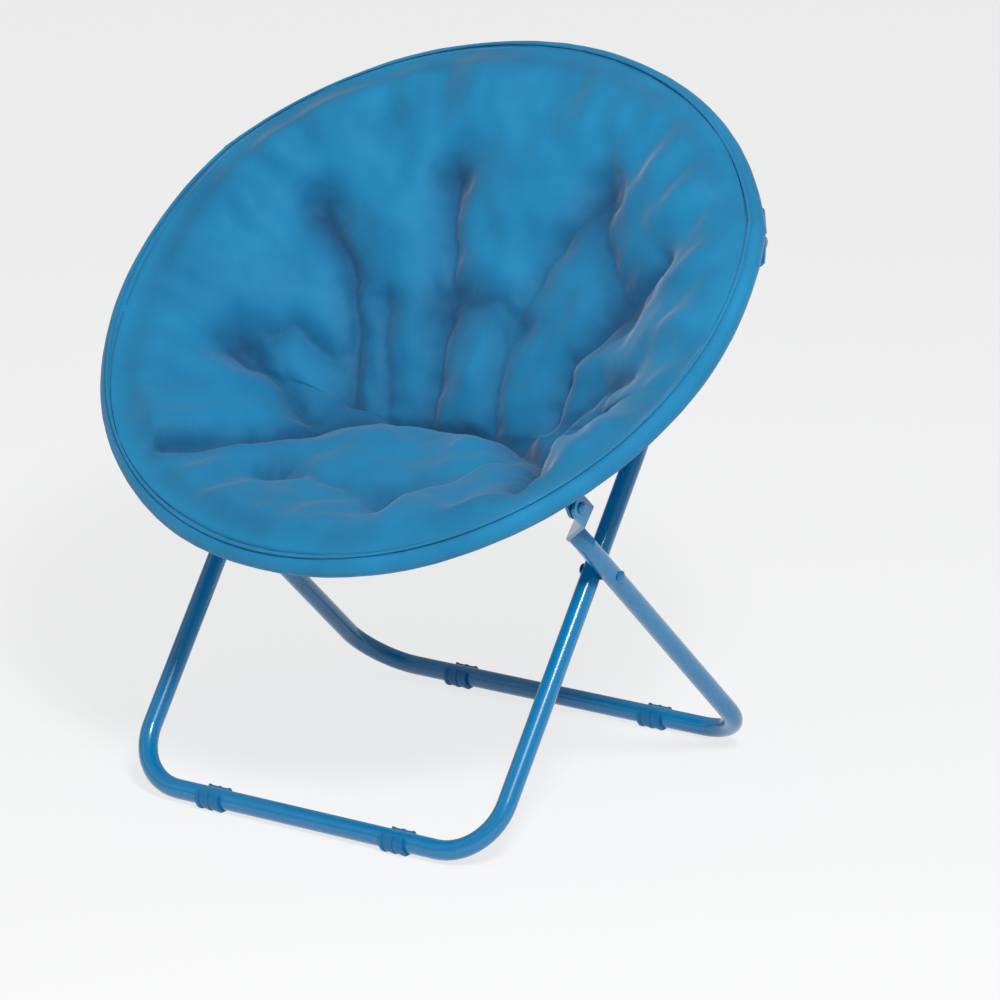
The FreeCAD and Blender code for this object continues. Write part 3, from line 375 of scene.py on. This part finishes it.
def moulded_finish(name, colour, roughness):
    """Moulded plastic with a fine spark-eroded grain."""
    finish = Finish(name)
    solid = finish.places()
    grain = finish.clouds(solid, 0.0007, 2.0, 0.6)
    broad = finish.clouds(solid, 0.012, 2.0)
    pale = tuple(min(1.0, 1.25 * c + 0.01) for c in colour)
    finish.use("Base Color", finish.mix(finish.stretch(broad, 0.35, 0.7, 0.0, 0.5), colour, pale))
    finish.use("Roughness", roughness + (grain - 0.5) * 0.15)
    finish.use("Normal", finish.bump(grain, 0.00008, 0.5))
    return finish.material


# Shapes

def half_width(u, inset):
    """Half width of the hoop at a place up the slope, moved in by an inset."""
    if u < HINGE_REACH:
        radius, centre = FRONT_RADIUS, FRONT_CENTRE
    else:
        radius, centre = BACK_RADIUS, BACK_CENTRE
    return math.sqrt(max((radius - inset) ** 2 - (u - centre) ** 2, 0.0))


def outline_reach(angle, inset):
    """Middle of the hoop to its inset outline in a direction."""
    for radius, centre in ((FRONT_RADIUS, FRONT_CENTRE), (BACK_RADIUS, BACK_CENTRE)):
        turn = centre * math.sin(angle)
        reach = turn + math.sqrt((radius - inset) ** 2 - (centre * math.cos(angle)) ** 2)
        if reach * math.sin(angle) < HINGE_REACH:
            break
    return reach


def bowl_line(u, edge, top, depth):
    """The bowl's middle line, from its front edge down to the crease and up to its back edge."""
    fall = depth + top
    if u <= CREASE_U:
        share = (u + edge) / (CREASE_U + edge)
        return top - fall * max(share, 0.0) ** 0.85
    share = (u - CREASE_U) / (edge - CREASE_U)
    return -depth + fall * min(share, 1.0) ** 1.1


def bowl_height(x, u, inset, top, depth):
    """Height of the bowl anywhere: an arc from edge to edge through the middle line."""
    half = half_width(u, inset)
    low = bowl_line(u, HOOP_REACH - inset, top, depth)
    sag = top - low
    if sag < 1e-6 or half < 1e-6:
        return top
    radius = (half ** 2 + sag ** 2) / (2.0 * sag)
    return low + radius - math.sqrt(max(radius ** 2 - min(abs(x), half) ** 2, 0.0))


def line_distance(x, u, line):
    """Distance of a place to a line of points."""
    nearest = 1.0
    for (ax, au), (bx, bu) in zip(line, line[1:]):
        run_x, run_u = bx - ax, bu - au
        share = ((x - ax) * run_x + (u - au) * run_u) / (run_x ** 2 + run_u ** 2)
        share = min(max(share, 0.0), 1.0)
        nearest = min(nearest, math.hypot(x - ax - share * run_x, u - au - share * run_u))
    return nearest


def hollow(distance, reach):
    """One at a line and nothing well beside it."""
    return math.exp(-(distance / reach) ** 2)


def crease_reach(x):
    """How far up the slope the crease runs at a place across the seat."""
    for (ax, au), (bx, bu) in zip(CREASE, CREASE[1:]):
        if ax <= x <= bx:
            return au + (bu - au) * (x - ax) / (bx - ax)
    return -HOOP_REACH


def stuffing_room(x, u, inward):
    """Share of the full stuffing at a place: one between the seams, none along them."""
    room = 1.0 - math.exp(-inward / EDGE_ROOM)
    room *= 1.0 - math.exp(-line_distance(x, u, CREASE) / CREASE_ROOM)
    for line, strength, reach in FOLDS:
        room *= 1.0 - strength * math.exp(-line_distance(x, u, line) / reach)
    for tuft_x, tuft_u in TUFTS:
        away = math.hypot(x - tuft_x, u - tuft_u)
        room *= 1.0 - TUFT_STRENGTH * math.exp(-away / TUFT_ROOM)
    return room


def stuffing_rise(x, u, inward, settings):
    """Rise of the cloth over its base, with puckers and crumples, and its share of stuffing."""
    loft = settings.seat_loft if u < crease_reach(x) else settings.back_loft
    room = stuffing_room(x, u, inward)
    around = math.atan2(u, x)
    ring = Vector((math.cos(around), math.sin(around), 0.0))
    band = hollow(inward - PUCKER_INWARD, PUCKER_REACH)
    pucker = settings.pucker * band * noise.noise(ring * PUCKER_RATE)
    place = Vector((x, u, 0.0))
    crumple = settings.crumple * (noise.noise(place * 13.0) + 0.5 * noise.noise(place * 31.0))
    edge = min(inward / EDGE_FADE, 1.0)
    return (loft * room + pucker + crumple) * edge - settings.crease_depth * hollow(
        line_distance(x, u, CREASE), CREASE_WIDTH), room


def new_piece(name, bm, materials):
    """An object of a bmesh that is in the row's frame."""
    mesh = bpy.data.meshes.new(name)
    bm.to_mesh(mesh)
    bm.free()
    for material in materials:
        mesh.materials.append(material)
    piece = bpy.data.objects.new(name, mesh)
    bpy.context.scene.collection.objects.link(piece)
    for polygon in mesh.polygons:
        polygon.use_smooth = True
    return piece


def disc_place(a, b, inset):
    """A place of the hoop's disc for a place of the square from -1 to 1."""
    across, along = a * math.sqrt(1.0 - b * b / 2.0), b * math.sqrt(1.0 - a * a / 2.0)
    reach = math.hypot(across, along)
    outline = outline_reach(math.atan2(along, across), inset)
    return across * outline, along * outline, reach


def make_bowl_shell(settings):
    """Closed shell of the stuffed bowl before it swells, in the hoop's axes."""
    bm = bmesh.new()
    uv = bm.loops.layers.uv.new("cloth")
    # Painted shade mask: for each point of the top, how far its colour is darkened, most along the
    # folds, crease and tufts.
    fold = bm.verts.layers.float.new("fold")
    top_mark = bm.verts.layers.float.new("top")
    rim_mark = bm.verts.layers.float.new("inward")
    made = bmesh.ops.create_grid(bm, x_segments=settings.steps, y_segments=settings.steps,
                                 size=1.0)
    top = made["verts"]
    under_source = bmesh.ops.duplicate(bm, geom=bm.verts[:] + bm.edges[:] + bm.faces[:])
    under = [item for item in under_source["geom"] if isinstance(item, bmesh.types.BMVert)]
    under_faces = [item for item in under_source["geom"] if isinstance(item, bmesh.types.BMFace)]
    bmesh.ops.reverse_faces(bm, faces=under_faces)
    for vert in top:
        x, u, share = disc_place(vert.co.x, vert.co.y, EDGE_INSET)
        vert.co = (x, u, bowl_height(x, u, EDGE_INSET, EDGE_TOP, BOWL_DEPTH))
        vert[top_mark] = 1.0
        vert[rim_mark] = 1.0 - share
    for vert in under:
        x, u, share = disc_place(vert.co.x, vert.co.y, UNDER_INSET)
        vert.co = (x, u, bowl_height(x, u, UNDER_INSET, UNDER_TOP, BOWL_DEPTH + PAD_THICKNESS))
        vert[rim_mark] = 1.0 - share
    loops = [edge for edge in bm.edges if edge.is_boundary]
    bmesh.ops.bridge_loops(bm, edges=loops)
    bmesh.ops.recalc_face_normals(bm, faces=bm.faces[:])
    bm.normal_update()
    for vert in top:
        x, u = vert.co.x, vert.co.y
        rise, room = stuffing_rise(x, u, vert[rim_mark], settings)
        # The painted shade is strongest where the stuffing has least room and fades out at the rim.
        vert[fold] = (1.0 - room) * min(vert[rim_mark] / EDGE_FADE, 1.0)
        vert.co += vert.normal * rise
    for face in bm.faces:
        for loop in face.loops:
            loop[uv].uv = (loop.vert.co.x * 1.1, loop.vert.co.y * 1.1)
    return bm


def seam_hold(x, u):
    """How firmly the seams and tufts hold the top at a place, from 0 to 1."""
    hold = hollow(line_distance(x, u, CREASE), SEAM_REACH)
    for line, _, _ in FOLDS:
        hold = max(hold, FOLD_HOLD * hollow(line_distance(x, u, line), SEAM_REACH))
    for tuft_x, tuft_u in TUFTS:
        hold = max(hold, hollow(math.hypot(x - tuft_x, u - tuft_u), TUFT_HOLD))
    return hold


def swell_bowl(piece, settings):
    """Let the stuffing and the spare cloth swell the top between its seams."""
    mesh = piece.data
    start = [vert.co.copy() for vert in mesh.vertices]
    top = mesh.attributes["top"].data
    inward = mesh.attributes["inward"].data
    held = piece.vertex_groups.new(name="held")
    for vert in mesh.vertices:
        weight = 1.0
        if top[vert.index].value > 0.5 and inward[vert.index].value > HEM_SHARE:
            weight = seam_hold(start[vert.index].x, start[vert.index].y)
        if weight > LEAST_HOLD:
            held.add([vert.index], weight, "REPLACE")
    cloth = piece.modifiers.new("swell", "CLOTH")
    cloth.settings.quality = 6
    cloth.settings.mass = settings.point_mass
    cloth.settings.tension_stiffness = 15.0
    cloth.settings.compression_stiffness = 15.0
    cloth.settings.shear_stiffness = 8.0
    cloth.settings.bending_stiffness = 0.5
    cloth.settings.effector_weights.gravity = 0.0
    cloth.settings.use_pressure = True
    cloth.settings.uniform_pressure_force = settings.puff
    cloth.settings.shrink_min = -settings.spare_cloth
    cloth.settings.vertex_group_mass = "held"
    cloth.collision_settings.use_collision = False
    scene = bpy.context.scene
    for number in range(1, SWELL_FRAMES + 1):
        scene.frame_set(number)
    swollen = piece.evaluated_get(bpy.context.evaluated_depsgraph_get()).data
    ends = [vert.co.copy() for vert in swollen.vertices]
    piece.modifiers.remove(cloth)
    scene.frame_set(1)
    for vert, here, there in zip(mesh.vertices, start, ends):
        step = there - here
        if step.length > settings.swell:
            step = step * (settings.swell / step.length)
        vert.co = here + step
    piece.vertex_groups.clear()


def subdivided(piece, levels=1):
    """The piece's mesh after one smooth subdivision."""
    smooth = piece.modifiers.new("smooth", "SUBSURF")
    smooth.levels = smooth.render_levels = levels
    finished = bpy.data.meshes.new_from_object(
        piece.evaluated_get(bpy.context.evaluated_depsgraph_get()))
    piece.modifiers.remove(smooth)
    return finished


def split_bowl(mesh, name, front, materials):
    """One side of the bowl, cut at the hinge line, with the whole bowl's shading at the cut."""
    bm = bmesh.new()
    bm.from_mesh(mesh)
    bmesh.ops.bisect_plane(bm, geom=bm.verts[:] + bm.edges[:] + bm.faces[:],
                           plane_co=(0, HINGE_REACH, 0), plane_no=(0, 1, 0), dist=1e-6)
    bm.normal_update()
    shading = bm.verts.layers.float_vector.new("shading")
    for vert in bm.verts:
        vert[shading] = vert.normal
    side = 1.0 if front else -1.0
    beyond = [v for v in bm.verts if (v.co.y - HINGE_REACH) * side > 1e-5]
    bmesh.ops.delete(bm, geom=beyond, context="VERTS")
    rim = [edge for edge in bm.edges if edge.is_boundary]
    capped = bmesh.ops.edgeloop_fill(bm, edges=rim)["faces"]
    bmesh.ops.recalc_face_normals(bm, faces=bm.faces[:])
    bm.normal_update()
    bm.faces.index_update()
    caps = {face.index for face in capped}
    turned = HOOP_PLACE.to_3x3()
    bm.faces.ensure_lookup_table()
    normals = []
    for face in bm.faces:
        for loop in face.loops:
            normal = face.normal if face.index in caps else loop.vert[shading]
            normals.append((turned @ Vector(normal)).normalized())
    bm.verts.layers.float_vector.remove(shading)
    bmesh.ops.transform(bm, matrix=HOOP_PLACE, verts=bm.verts[:])
    piece = new_piece(name, bm, materials)
    piece.data.normals_split_custom_set([tuple(n) for n in normals])
    return piece


class SAUCER_OT_bowl(bpy.types.Operator):
    """Make the padded bowl: its seat rides on the front half of the hoop, its top on the back"""

    bl_idname = "saucer.bowl"
    bl_label = "Padded Bowl"

    def execute(self, context):
        settings = context.scene.saucer_cloth
        shell = new_piece("bowl_shell", make_bowl_shell(settings), [])
        swell_bowl(shell, settings)
        mesh = subdivided(shell)
        cloth = cloth_finish("bowl_cloth", settings)
        seat = split_bowl(mesh, "bowl_seat", True, [cloth])
        back = split_bowl(mesh, "bowl_back", False, [cloth])
        bpy.data.objects.remove(shell)
        for piece, body, node, joint in ((seat, "rim_front", "seat_pad", "rim_front_fold"),
                                         (back, "rim_back", "back_pad", "rim_back_fold")):
            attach(piece, body)
            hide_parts(node)
            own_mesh(piece)
        return {"FINISHED"}


def hoop_arc(front, inset):
    """Radius, centre up the slope, first angle and turn of one half of the hoop."""
    radius, centre = ((FRONT_RADIUS, FRONT_CENTRE) if front else (BACK_RADIUS, BACK_CENTRE))
    hinge = math.atan2(HINGE_REACH - centre, HINGE_X)
    if front:
        return radius - inset, centre, hinge, -(math.pi + 2.0 * hinge)
    return radius - inset, centre, hinge, math.pi - 2.0 * hinge


def sweep_hoop(front, inset, rise, thickness, ring, steps, overrun=0.04):
    """A round section spun along one half of the hoop and cut at the hinge line."""
    bm = bmesh.new()
    radius, centre, first, turn = hoop_arc(front, inset)
    more = math.copysign(overrun, turn)
    first, turn = first - more, turn + 2.0 * more
    made = bmesh.ops.create_circle(bm, segments=ring, radius=thickness)
    place = (Matrix.Translation((radius * math.cos(first), centre + radius * math.sin(first), rise))
             @ Matrix.Rotation(first, 4, "Z") @ Matrix.Rotation(math.pi / 2.0, 4, "X"))
    bmesh.ops.transform(bm, matrix=place, verts=made["verts"])
    bmesh.ops.spin(bm, geom=bm.verts[:] + bm.edges[:], cent=(0, centre, rise), axis=(0, 0, 1),
                   angle=turn, steps=steps, use_merge=False)
    bmesh.ops.bisect_plane(bm, geom=bm.verts[:] + bm.edges[:] + bm.faces[:],
                           plane_co=(0, HINGE_REACH, 0), plane_no=(0, 1, 0),
                           clear_outer=front, clear_inner=not front, dist=1e-6)
    bmesh.ops.recalc_face_normals(bm, faces=bm.faces[:])
    return bm


def around_hoop(co, front):
    """A point's angle round the hoop, its angle round the section, and the hoop's radius."""
    radius, centre, _, _ = hoop_arc(front, 0.0)
    angle = math.atan2(co.y - centre, co.x)
    out = math.hypot(co.x, co.y - centre) - radius
    return angle, math.atan2(co.z, out), radius


class SAUCER_OT_sleeve(bpy.types.Operator):
    """Make the cloth sleeve that is drawn over both halves of the hoop"""

    bl_idname = "saucer.sleeve"
    bl_label = "Rim Sleeve"

    def execute(self, context):
        settings = context.scene.saucer_cloth
        cloth = cloth_finish("sleeve_cloth", settings, paint_fold_shade=False)
        for front, name, node, body in ((True, "sleeve_front", "front_rim_sleeve", "rim_front"),
                                        (False, "sleeve_back", "back_rim_sleeve", "rim_back")):
            bm = sweep_hoop(front, 0.0, 0.0, SLEEVE_RADIUS, SLEEVE_POINTS,
                            SLEEVE_STEPS[front])
            self.open_below(bm, front)
            self.wrinkle(bm, front)
            uv = bm.loops.layers.uv.new("cloth")
            for face in bm.faces:
                for loop in face.loops:
                    angle, around, radius = around_hoop(loop.vert.co, front)
                    loop[uv].uv = (angle * radius, around * SLEEVE_RADIUS)
            bmesh.ops.solidify(bm, geom=bm.faces[:], thickness=SLEEVE_WALL)
            bmesh.ops.transform(bm, matrix=HOOP_PLACE, verts=bm.verts[:])
            piece = new_piece(name, bm, [cloth])
            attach(piece, body)
            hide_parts(node)
        return {"FINISHED"}

    def open_below(self, bm, front):
        """Leave the sleeve open round each ear and hinge foot."""
        gone = []
        ear_u = FRONT_EAR_REACH if front else BACK_EAR_REACH
        ear_x = half_width(ear_u, 0.0) - EAR_INWARD
        for face in bm.faces:
            middle = face.calc_center_median()
            at_ear = (abs(abs(middle.x) - ear_x) < EAR_HALF_WIDTH
                      and abs(middle.y - ear_u) < EAR_HALF_LENGTH and middle.z < 0)
            at_hinge = (abs(middle.y - HINGE_REACH) < HINGE_OPENING
                        and middle.z < HINGE_OPENING_TOP)
            if at_ear or at_hinge:
                gone.append(face)
        bmesh.ops.delete(bm, geom=gone, context="FACES")

    def wrinkle(self, bm, front):
        """Slight gathers along the seam and slack at the hinges."""
        for vert in bm.verts:
            angle, around, radius = around_hoop(vert.co, front)
            run = angle * radius
            seam_side = max(0.0, math.cos(around - SEAM_ANGLE))
            gather = noise.noise(Vector((run * GATHER_RATE, around * GATHER_SPREAD, 3.0)))
            slack = noise.noise(Vector((run * SLACK_RATE, around * SLACK_SPREAD, 9.0)))
            middle = Vector((math.cos(angle) * radius, hoop_arc(front, 0.0)[1]
                             + math.sin(angle) * radius, 0.0))
            out = (vert.co - middle).normalized()
            rise = gather * GATHER_HEIGHT * (GATHER_BASE + seam_side) + slack * SLACK_HEIGHT
            vert.co += out * (rise - SLEEVE_DRAW)


class SAUCER_OT_piping(bpy.types.Operator):
    """Make the piping between the sleeve and the pad"""

    bl_idname = "saucer.piping"
    bl_label = "Piping"

    def execute(self, context):
        settings = context.scene.saucer_cloth
        cloth = cloth_finish("piping_cloth", settings, paint_fold_shade=False)
        for front, name, node, body in ((True, "piping_front", "front_piping", "rim_front"),
                                        (False, "piping_back", "back_piping", "rim_back")):
            bm = sweep_hoop(front, PIPING_INSET, PIPING_RISE, PIPING_RADIUS,
                            PIPING_POINTS, PIPING_STEPS[front])
            uv = bm.loops.layers.uv.new("cloth")
            for face in bm.faces:
                for loop in face.loops:
                    angle, around, radius = around_hoop(loop.vert.co, front)
                    loop[uv].uv = (angle * radius, around * PIPING_RADIUS)
            holes = [edge for edge in bm.edges if edge.is_boundary]
            bmesh.ops.holes_fill(bm, edges=holes, sides=0)
            bmesh.ops.transform(bm, matrix=HOOP_PLACE, verts=bm.verts[:])
            piece = new_piece(name, bm, [cloth])
            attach(piece, body)
            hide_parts(node)
        return {"FINISHED"}


class SAUCER_OT_paint(bpy.types.Operator):
    """Paint the tubes, ears, hinges and rivets, and finish the moulded pieces"""

    bl_idname = "saucer.paint"
    bl_label = "Painted Frame"

    def execute(self, context):
        settings = context.scene.saucer_paint
        paint = paint_finish("tube_paint", settings.colour, settings.roughness)
        plate = paint_finish("plate_paint", [0.9 * c for c in settings.colour],
                             settings.roughness + 0.08)
        rivet = paint_finish("rivet_paint", [0.85 * c for c in settings.colour], 0.32, coat=0.3)
        clip = moulded_finish("clip_plastic", settings.clip_colour, 0.42)
        washer = moulded_finish("washer_plastic", settings.washer_colour, 0.5)
        slots = {row["node"]: row["material_slot"] for row in frame["record"]["subparts"]}
        finishes = {"leg_tube": paint, "hoop_tube": paint, "bracket_steel": plate,
                    "rivet_steel": rivet, "clip_plastic": clip, "washer_plastic": washer}
        for node, item in frame["nodes"].items():
            finish = finishes.get(slots[node])
            if finish is None:
                continue
            item.data.materials.clear()
            item.data.materials.append(finish)
        return {"FINISHED"}


def add_lamp(name, place, target, size, power):
    """A round area lamp that faces a point."""
    lamp = bpy.data.lights.new(name, "AREA")
    lamp.shape = "DISK"
    lamp.size = size
    lamp.energy = power
    item = bpy.data.objects.new(name, lamp)
    item.location = place
    item.rotation_euler = (Vector(target) - Vector(place)).to_track_quat("-Z", "Y").to_euler()
    bpy.context.scene.collection.objects.link(item)


def whiten(material, share):
    """Show a share of plain white to the camera and in reflections, over the lit colour."""
    nodes, links = material.node_tree.nodes, material.node_tree.links
    out = next(node for node in nodes if node.type == "OUTPUT_MATERIAL")
    lit = out.inputs["Surface"].links[0].from_socket
    paths = nodes.new("ShaderNodeLightPath")
    seen = nodes.new("ShaderNodeMath")
    seen.operation = "MAXIMUM"
    links.new(paths.outputs["Is Camera Ray"], seen.inputs[0])
    links.new(paths.outputs["Is Glossy Ray"], seen.inputs[1])
    amount = nodes.new("ShaderNodeMath")
    amount.operation = "MULTIPLY"
    links.new(seen.outputs[0], amount.inputs[0])
    amount.inputs[1].default_value = share
    white = nodes.new("ShaderNodeEmission")
    white.inputs["Strength"].default_value = 1.0
    blend = nodes.new("ShaderNodeMixShader")
    links.new(amount.outputs[0], blend.inputs["Fac"])
    links.new(lit, blend.inputs[1])
    links.new(white.outputs[0], blend.inputs[2])
    links.new(blend.outputs[0], out.inputs["Surface"])


class SAUCER_OT_stage(bpy.types.Operator):
    """Set up the pale floor, the soft lamps and the camera"""

    bl_idname = "saucer.stage"
    bl_label = "Studio"

    def execute(self, context):
        settings = context.scene.saucer_stage
        scene = context.scene
        scene.view_settings.view_transform = "Standard"
        self.make_floor(settings)
        self.make_sky(settings)
        add_lamp("key_lamp", KEY_PLACE, KEY_TARGET, KEY_SIZE, settings.key_power)
        add_lamp("fill_lamp", FILL_PLACE, FILL_TARGET, FILL_SIZE, settings.fill_power)
        self.make_camera(settings)
        return {"FINISHED"}

    def make_floor(self, settings):
        """A wide pale floor that keeps the shadow."""
        bm = bmesh.new()
        bmesh.ops.create_grid(bm, x_segments=2, y_segments=2, size=FLOOR_HALF_SIZE)
        bmesh.ops.translate(bm, vec=(0, 0, -FLOOR_DROP), verts=bm.verts[:])
        finish = Finish("floor_paper", {"Roughness": 0.9, "Specular IOR Level": 0.1})
        tint = finish.clouds(finish.places(), 1.5, 2.0)
        pale = tuple(min(1.0, c + 0.01) for c in settings.floor_colour)
        finish.use("Base Color", finish.mix(tint, settings.floor_colour, pale))
        whiten(finish.material, settings.paper_white)
        floor = new_piece("floor", bm, [finish.material])

    def make_sky(self, settings):
        """Even light all round, and white behind for the camera."""
        world = bpy.data.worlds.new("studio")
        bpy.context.scene.world = world
        world.use_nodes = True
        nodes, links = world.node_tree.nodes, world.node_tree.links
        nodes.clear()
        paths = nodes.new("ShaderNodeLightPath")
        light, white = nodes.new("ShaderNodeBackground"), nodes.new("ShaderNodeBackground")
        light.inputs["Color"].default_value = (0.95, 0.98, 1.0, 1.0)
        light.inputs["Strength"].default_value = settings.sky
        white.inputs["Color"].default_value = (0.90, 0.91, 0.92, 1.0)
        blend = nodes.new("ShaderNodeMixShader")
        out = nodes.new("ShaderNodeOutputWorld")
        links.new(paths.outputs["Is Camera Ray"], blend.inputs["Fac"])
        links.new(light.outputs[0], blend.inputs[1])
        links.new(white.outputs[0], blend.inputs[2])
        links.new(blend.outputs[0], out.inputs["Surface"])

    def make_camera(self, settings):
        """The camera at the picture's place."""
        azimuth, elevation = settings.azimuth, settings.elevation
        back = Vector((math.sin(azimuth) * math.cos(elevation),
                       -math.cos(azimuth) * math.cos(elevation), math.sin(elevation)))
        level = Vector((math.cos(azimuth), math.sin(azimuth), 0.0))
        steep = back.cross(level)
        right = math.cos(settings.roll) * level + math.sin(settings.roll) * steep
        up = -math.sin(settings.roll) * level + math.cos(settings.roll) * steep
        data = bpy.data.cameras.new("camera")
        data.sensor_fit = "HORIZONTAL"
        data.lens = settings.focal_ratio * data.sensor_width
        data.clip_end = 60.0
        camera = bpy.data.objects.new("camera", data)
        bpy.context.scene.collection.objects.link(camera)
        turn = Matrix((right, up, back)).transposed().to_4x4()
        place = Vector(settings.target) + back * settings.distance
        camera.matrix_world = Matrix.Translation(place) @ turn
        bpy.context.scene.camera = camera


class SAUCER_PT_panel(bpy.types.Panel):
    """Pieces of the chair, in the order in which they are made"""

    bl_idname = "SAUCER_PT_panel"
    bl_label = "Saucer Chair"
    bl_space_type = "VIEW_3D"
    bl_region_type = "UI"
    bl_category = "Saucer Chair"

    def draw(self, context):
        for kind in PIECES:
            self.layout.operator(kind.bl_idname)
        for group in (context.scene.saucer_cloth, context.scene.saucer_paint,
                      context.scene.saucer_stage):
            box = self.layout.box()
            for name in group.bl_rna.properties.keys():
                if name not in {"rna_type", "name"}:
                    box.prop(group, name)


SETTINGS = (("saucer_cloth", SaucerClothSettings), ("saucer_paint", SaucerPaintSettings),
            ("saucer_stage", SaucerStageSettings))
PIECES = (SAUCER_OT_stage, SAUCER_OT_paint, SAUCER_OT_bowl, SAUCER_OT_sleeve, SAUCER_OT_piping)


def register():
    """Add the settings, the operators and the panel."""
    for name, group in SETTINGS:
        bpy.utils.register_class(group)
        setattr(bpy.types.Scene, name, PointerProperty(type=group))
    for kind in (*PIECES, SAUCER_PT_panel):
        bpy.utils.register_class(kind)


def unregister():
    """Take the panel, the operators and the settings away."""
    for kind in reversed((*PIECES, SAUCER_PT_panel)):
        bpy.utils.unregister_class(kind)
    for name, group in reversed(SETTINGS):
        delattr(bpy.types.Scene, name)
        bpy.utils.unregister_class(group)


def main():
    """Build the stage and dress the chair, piece by piece."""
    register()
    bpy.ops.saucer.stage()
    bpy.ops.saucer.paint()
    bpy.ops.saucer.bowl()
    bpy.ops.saucer.sleeve()
    bpy.ops.saucer.piping()


if __name__ == "__main__":
    main()
